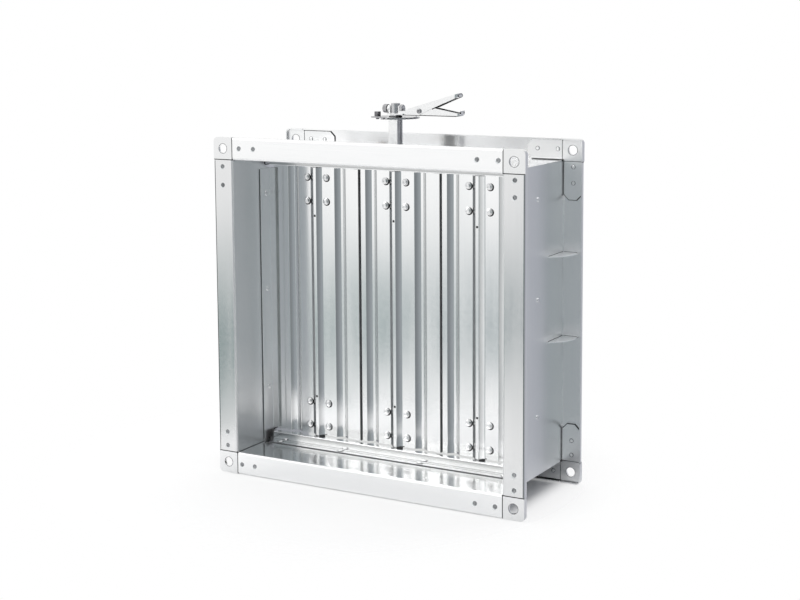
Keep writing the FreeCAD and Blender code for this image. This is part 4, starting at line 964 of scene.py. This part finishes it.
    def rail_rivets(self) -> None:
        """Rivets through the feet of the two stop rails; under each lower one a dark disc, set a little to the right
        and to the front, is painted shadow.
        """
        made = Solid("rail_rivets", "casing", "plated_fastener", PLATED_HANDLE)
        shadows = Solid("rail_rivet_shadows", "casing", "seal_rubber", SHADE_GREY)
        aside, ahead = self.rivet_shadow_shift
        for side in (-1, 1):
            places = [rank * self.pitch - side * self.rail_rivet_shift for rank in (-1, 0, 1)]
            y = side * self.rail_rivet_side
            for x in (*places, side * self.rail_rivet_end):
                for head, tail, turn in self.rail_rivet_levels:
                    made.riveted((x, y, head), (x, y, tail), turn)
                shadows.turned(self.rivet_shadow, (x + aside, y + ahead, self.rail_rivet_levels[0][0]), Turn.UP)
        made.finished()
        shadows.finished()

    def stop_rivets(self) -> None:
        """Rivets through the side stops."""
        made = Solid("side_stop_rivets", "casing", "plated_fastener", PLATED_FASTENER)
        for side, y, heights in self.stop_rivets_at:
            inward = Turn.LEFT if side > 0 else Turn.RIGHT
            for height in heights:
                head, tail = ((side * x, y, self.middle + height) for x in self.stop_rivet_ends)
                made.riveted(head, tail, inward)
        made.finished()


@dataclass
class Blades:
    """Three lapping blades with what turns with each of them."""

    pitch: float = 123.6
    lean: float = -1.4
    middle: float = 230.0
    face: float = -2.2
    back: float = 0.8
    screw_side: float = 15.5
    screw_rows: tuple = (172.5, 140.0, -140.0, -172.5)
    head_profile: tuple = ((2.2, 0.0), (4.6, 0.0), (4.6, 0.55), (3.9, 0.75), (3.75, 2.0), (3.3, 2.75), (2.3, 3.15),
                           (1.5, 3.2), (1.3, 2.4), (0.0, 2.2))
    shank_profile: tuple = ((2.35, -0.5), (2.35, 3.2))
    end_profile: tuple = ((2.3, 3.3), (2.3, 3.95), (1.9, 4.0), (0.0, 4.0))
    nut: tuple = (4.0, 0.0, 3.4, 0.5)
    shadow_profile: tuple = ((5.2, 0.0), (5.2, 0.35), (0.0, 0.35))
    seat_shift: tuple = (1.1, -0.7)
    sight_levels: tuple = (350.0, 99.0)
    sight_half: float = 1.45
    sight_depths: tuple = (-6.9, -5.0)
    ranks: tuple = (("left", -1), ("centre", 0), ("right", 1))

    def build(self, dresser: Dresser) -> None:
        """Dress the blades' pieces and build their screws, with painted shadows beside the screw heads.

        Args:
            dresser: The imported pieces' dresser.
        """
        for name, rank in self.ranks:
            axle = "drive_axle" if rank == 0 else name + "_upper_axle"
            dresser.dress(SHEET_BLADE, name + "_blade", name + "_axle_clamps")
            dresser.dress(TURNED, axle, name + "_lower_axle", name + "_crank")
            if rank:
                dresser.dress(PLATED_FASTENER, name + "_axle_clip")
            dresser.dress(EDGE_RUBBER, name + "_edge_seal")
            self.screws(name, rank * self.pitch)

    def screws(self, name: str, axle: float) -> None:
        """Clamp screws of one blade, head in front and nut behind; a dark disc offset to each head's lower right is
        painted shadow, and dark plugs in its ridge's sight holes are painted shade.

        Args:
            name: The blade's place: left, centre or right.
            axle: Its axle's place along X.
        """
        made = Solid(name + "_clamp_screw_set", name + "_blade", "plated_fastener", PLATED_FASTENER)
        shadows = Solid(name + "_screw_shadows", name + "_blade", "seal_rubber", DARK_MATTE)
        aside, down = self.seat_shift
        for side in (-1, 1):
            for row in self.screw_rows:
                x, z = axle + side * self.screw_side, self.middle + row
                front, rear = (x, self.face, z), (x, self.back, z)
                made.turned(self.head_profile, front, Turn.FRONT)
                shadows.turned(self.shadow_profile, (x + aside, self.face, z + down), Turn.FRONT)
                made.turned(self.shank_profile, front, Turn.BACK, 12)
                made.hexed(*self.nut, rear, Turn.BACK)
                made.turned(self.end_profile, rear, Turn.BACK, 12)
        for level in self.sight_levels:
            shadows.block((axle - self.sight_half, self.sight_depths[0], level - self.sight_half),
                        (axle + self.sight_half, self.sight_depths[1], level + self.sight_half))
        made.turn_about(axle, self.lean)
        shadows.turn_about(axle, self.lean)
        made.finished(name + "_clamp_screws")
        shadows.finished()


@dataclass
class Handle:
    """Stand, quadrant and squeeze lever on top of the casing."""

    foot_top: float = 433.5
    panel_under: float = 430.0
    foot_rivets: tuple = (23.0, 9.5)
    ear_bolt: tuple = (-27.5, 0.0, 488.0)
    ear_washer: tuple = (4.2, 0.0, 0.5)
    ear_head: tuple = (4.2, 0.45, 6.2, 0.8)
    ear_shank: tuple = ((2.35, 0.1), (2.35, -3.6), (2.0, -4.0), (0.0, -4.0))
    hub_bolt: tuple = (0.0, 0.0, 498.6)
    hub_head: tuple = (5.0, 11.4, 17.5, 0.9)
    hub_washer: tuple = (4.9, 11.0, 11.45)
    hub_gap: tuple = (5.5, 10.7, 11.35)
    hub_shank: tuple = ((2.85, 11.1), (2.85, -12.0), (2.5, -12.4), (0.0, -12.4))
    hub_nut: tuple = (5.0, 8.0, 12.0, 0.6)
    pivot: tuple = (40.0, 496.7)
    pin_reach: float = 8.8
    pin_radius: float = 1.95
    pin_profile: tuple = ((3.3, 0.0), (3.25, 0.75), (2.8, 1.15), (2.0, 1.3), (1.35, 1.15), (1.1, 0.6), (0.0, 0.5))
    coil: tuple = (2.85, 0.45, 3.05)
    coil_turns: float = 6.5
    coil_steps: int = 16
    wire_sides: int = 8
    spring_leg: tuple = (3.0, 13.0)
    spring_rises: tuple = (0.5, 2.6)
    lever_shade_strip: tuple = ((9.0, -8.4, 490.7), (93.0, 8.4, 491.5))
    spacer_gap: tuple = (8.8, 488.1, 489.0)
    trigger_shade_line: tuple = ((58.5, -7.3, 499.9), (88.5, -7.3, 514.6))
    shade_line_wire: tuple = (0.85, 8)
    tips: tuple = (("trigger_end", "trigger", 95.6, 517.6, 5.6, 1.9),
                   ("lever_end", "centre_blade", 98.4, 495.6, 6.0, 2.6))
    tip_depth: tuple = (-0.6, 0.5)
    rim_place: tuple = (95.9, 517.6)
    rim_size: tuple = (6.0, 2.3)
    rim_steps: int = 20
    rim_wire: tuple = (0.5, 6)
    dot: tuple = (1.5, 98.0, 98.95)
    dot_places: tuple = ((0.0, -5.4, 495.6), (0.0, 4.4, 495.6))

    def build(self, dresser: Dresser) -> None:
        """Dress the handle's pieces and add its small fittings.

        Args:
            dresser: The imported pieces' dresser.
        """
        dresser.dress(PLATED_HANDLE, "handle_stand", "handle_lever", "trigger")
        dresser.dress(PALE_HUB, "handle_hub")
        dresser.dress(QUADRANT, "quadrant_plate")
        dresser.dress(TURNED, "handle_spacer")
        self.ear_bolt_set()
        self.hub_bolt_set()
        self.pivot_pin()
        self.spring()
        self.stand_rivets()
        self.shadow_gaps()
        self.tip_ends()

    def shadow_gaps(self) -> None:
        """Painted shade: dark strips under the lever and the trigger, and dark discs round the spacer and behind the
        hub bolt's head, in place of the shadow in those gaps.
        """
        made = Solid("lever_shade_strips", "centre_blade", "seal_rubber", DARK_MATTE)
        made.block(*self.lever_shade_strip)
        made.disc(*self.spacer_gap, (0.0, 0.0, 0.0), Turn.UP)
        made.disc(*self.hub_gap, self.hub_bolt, Turn.LEFT)
        made.finished()
        made = Solid("trigger_shade_line", "trigger", "seal_rubber", DARK_MATTE)
        made.swept(self.trigger_shade_line, *self.shade_line_wire)
        made.finished()

    def tip_ends(self) -> None:
        """Rolled ends of the trigger and the lever; a dark ring round the trigger's end is a painted shade outline,
        and the lever's end has two dark dots.
        """
        near, far = self.tip_depth
        for name, body, reach, high, half, tall in self.tips:
            cap = Solid(name, body, "plated_handle", PALE_HUB)
            cap.block((reach + near, -half, high - tall), (reach + far, half, high + tall))
            cap.finished()
        rim = Solid("trigger_end_shade_rim", "trigger", "seal_rubber", DARK_MATTE)
        x, z = self.rim_place
        wide, tall = self.rim_size
        rim.swept([(x, wide * out, z + tall * rise) for out, rise in circle(self.rim_steps)], *self.rim_wire)
        rim.finished()
        dots = Solid("lever_end_dots", "centre_blade", "seal_rubber", DARK_MATTE)
        for spot in self.dot_places:
            dots.disc(*self.dot, spot, Turn.RIGHT, 12)
        dots.finished()

    def ear_bolt_set(self) -> None:
        """Hex bolt through the ear of the quadrant plate."""
        made = Solid("quadrant_hex_bolt", "casing", "plated_fastener", BLACK_BOLT)
        made.disc(*self.ear_washer, self.ear_bolt, Turn.UP)
        made.hexed(*self.ear_head, self.ear_bolt, Turn.UP, 0)
        made.turned(self.ear_shank, self.ear_bolt, Turn.UP, 16)
        made.finished("quadrant_bolt")

    def hub_bolt_set(self) -> None:
        """Bolt through the hub and the drive axle, with its nut."""
        made = Solid("hub_hex_bolt", "centre_blade", "plated_fastener", DARK_BOLT)
        made.hexed(*self.hub_head, self.hub_bolt, Turn.LEFT, 0)
        made.disc(*self.hub_washer, self.hub_bolt, Turn.LEFT)
        made.turned(self.hub_shank, self.hub_bolt, Turn.LEFT, 20)
        made.hexed(*self.hub_nut, self.hub_bolt, Turn.RIGHT, 0)
        made.finished("hub_clamp_bolt")

    def pivot_pin(self) -> None:
        """Pin of the trigger, with a dimpled head at each end."""
        made = Solid("trigger_rivet_pin", "centre_blade", "plated_fastener", DARK_BOLT)
        x, z = self.pivot
        made.turned(self.pin_profile, (x, -self.pin_reach, z), Turn.FRONT)
        made.turned(self.pin_profile, (x, self.pin_reach, z), Turn.BACK)
        shank = [(self.pin_radius, -self.pin_reach - 0.1), (self.pin_radius, self.pin_reach + 0.1)]
        made.turned(shank, (x, 0.0, z), Turn.BACK, 16)
        made.finished("trigger_pin")

    def spring(self) -> None:
        """Coil round the pin, with one leg on the lever and one under the trigger."""
        made = Solid("trigger_coil_spring", "centre_blade", "spring_steel", SPRING)
        x, z = self.pivot
        radius, wire, half = self.coil
        near, far = self.spring_leg
        path = [(x + far, -half, z - radius), (x + near, -half, z - radius)]
        steps = round(self.coil_turns * self.coil_steps)
        for step in range(steps + 1):
            angle = -math.pi / 2 - 2 * math.pi * step / self.coil_steps
            path.append((x + radius * math.cos(angle), -half + 2 * half * step / steps, z + radius * math.sin(angle)))
        path += [(x + out, half, z + radius + rise) for out, rise in zip(self.spring_leg, self.spring_rises)]
        made.swept(path, wire, self.wire_sides)
        made.finished("trigger_spring")

    def stand_rivets(self) -> None:
        """Rivets through the stand's foot."""
        made = Solid("stand_rivets", "casing", "plated_fastener", PLATED_FASTENER)
        for side, deep in CORNERS:
            x, y = side * self.foot_rivets[0], deep * self.foot_rivets[1]
            made.riveted((x, y, self.foot_top), (x, y, self.panel_under), Turn.UP)
        made.finished()


@dataclass
class Linkage:
    """Tie bar under the casing."""

    def build(self, dresser: Dresser) -> None:
        """Dress the tie bar."""
        dresser.dress(TURNED, "tie_bar")


@dataclass
class Studio:
    """White floor, soft light and the photograph's camera."""

    lens: float = 70.031
    shift: float = -0.125
    place: tuple = (1.01621, -1.77461, 0.62340)
    rows: tuple = ((0.869346, -0.053782, 0.491269), (0.494167, 0.106729, -0.862790),
                   (-0.006030, 0.992832, 0.119362))
    floor_reach: float = 0.75
    floor_level: float = -0.0005
    lamps: tuple = (("soft_left", (-1.5, -1.6, 1.7), 1.6, 16.0), ("soft_top", (0.3, 0.3, 2.3), 1.8, 14.0))
    lamps_aim: tuple = (0.0, 0.0, 0.2)
    white: tuple = (1.0, 1.0, 1.0)
    band_start: tuple = (-0.247, -0.207)
    band_end: tuple = (-0.212, -0.112)
    lower_side: tuple = (-0.577, -0.562)
    lower_by: float = 0.038
    grey_side: tuple = (-0.58, -0.46)
    greys: tuple = ((0.29, 0.36, 0.36), (0.34, 0.39, 0.405))
    cloud: tuple = (0.55, 0.56, 0.55)
    cloud_start: tuple = (0.17, 0.25)
    cloud_end: tuple = (0.38, 0.50)
    cloud_share: float = 0.8
    shades: tuple = (((0.97, 0.26, 0.0), (0.20, 0.70), (0.39, 0.405, 0.45)),
                     ((0.49, -0.86, 0.0), (0.70, 0.90), (0.285, 0.335, 0.345)),
                     ((0.86, -0.49, 0.0), (0.72, 0.92), (0.32, 0.345, 0.365)))

    def build(self) -> None:
        """Set up floor, world, lamps and camera."""
        self.floor()
        self.world()
        for name, spot, size, power in self.lamps:
            self.lamp(name, spot, size, power)
        self.camera()
        bpy.context.scene.view_settings.view_transform = "Standard"

    def floor(self) -> None:
        """Pale floor, wide enough to reach the edge of the view."""
        mesh = bmesh.new()
        mesh.faces.new([mesh.verts.new((x * self.floor_reach, y * self.floor_reach, self.floor_level))
                        for x, y in ((-1, -1), (1, -1), (1, 1), (-1, 1))])
        data = bpy.data.meshes.new("studio_floor")
        mesh.to_mesh(data)
        mesh.free()
        data.materials.append(StudioFloor().material())
        floor = bpy.data.objects.new("studio_floor", data)
        bpy.context.scene.collection.objects.link(floor)

    def world(self) -> None:
        """Surroundings: white as seen, and with a grey side and a low grey band for light and gloss."""
        world = bpy.data.worlds.new("studio")
        bpy.context.scene.world = world
        world.use_nodes = True
        tree = Tree(world.node_tree)
        way = tree.node("ShaderNodeTexCoord", {}, {}, "Generated")
        level = tree.along("Z", way)
        wide = tree.along("X", way)
        low = (level + (1 - wide.between(*self.lower_side)) * self.lower_by).between(*self.band_start)
        band = low - level.between(*self.band_end)
        tone = tree.blend(band, self.white, tree.blend(wide.between(*self.grey_side), *self.greys))
        high = level.between(*self.cloud_start) - level.between(*self.cloud_end)
        tone = tree.blend(high * self.cloud_share, tone, self.cloud)
        for aim, edge, shade in self.shades:
            side = tuple(Vector(aim).normalized())
            near = tree.node("ShaderNodeVectorMath", {"operation": "DOT_PRODUCT"}, {0: way, 1: side}, "Value")
            tone = tree.blend(near.between(*edge), tone, shade)
        camera = tree.node("ShaderNodeLightPath", {}, {}, "Is Camera Ray")
        tone = tree.blend(camera, tone, self.white)
        sky = tree.node("ShaderNodeBackground", {}, {"Color": tone, "Strength": 1.0})
        tree.node("ShaderNodeOutputWorld", {}, {"Surface": sky})

    def lamp(self, name: str, spot: tuple, size: float, power: float) -> None:
        """Add a square soft lamp that faces the object.

        Args:
            name: The lamp's name.
            spot: Its place in metres.
            size: Side length in metres.
            power: Power in watts.
        """
        data = bpy.data.lights.new(name, "AREA")
        data.shape = "SQUARE"
        data.size = size
        data.energy = power
        lamp = bpy.data.objects.new(name, data)
        lamp.location = spot
        lamp.rotation_euler = (Vector(self.lamps_aim) - Vector(spot)).to_track_quat("-Z", "Y").to_euler()
        bpy.context.scene.collection.objects.link(lamp)

    def camera(self) -> None:
        """Camera at the photograph's viewing angle."""
        data = bpy.data.cameras.new("photo_camera")
        data.sensor_width = 36.0
        data.lens = self.lens
        data.shift_y = self.shift
        camera = bpy.data.objects.new("photo_camera", data)
        camera.matrix_world = Matrix.Translation(self.place) @ Matrix(self.rows).to_4x4()
        bpy.context.scene.collection.objects.link(camera)
        bpy.context.scene.camera = camera


def main() -> None:
    """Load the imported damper, dress it and set up the studio."""
    logging.basicConfig(level=logging.INFO, format="%(name)s %(message)s")
    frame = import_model()
    dresser = Dresser(frame["nodes"])
    for assembly in (Casing(), Blades(), Handle(), Linkage()):
        assembly.build(dresser)
        log.info("%s done", type(assembly).__name__)
    Studio().build()


if __name__ == "__main__":
    main()
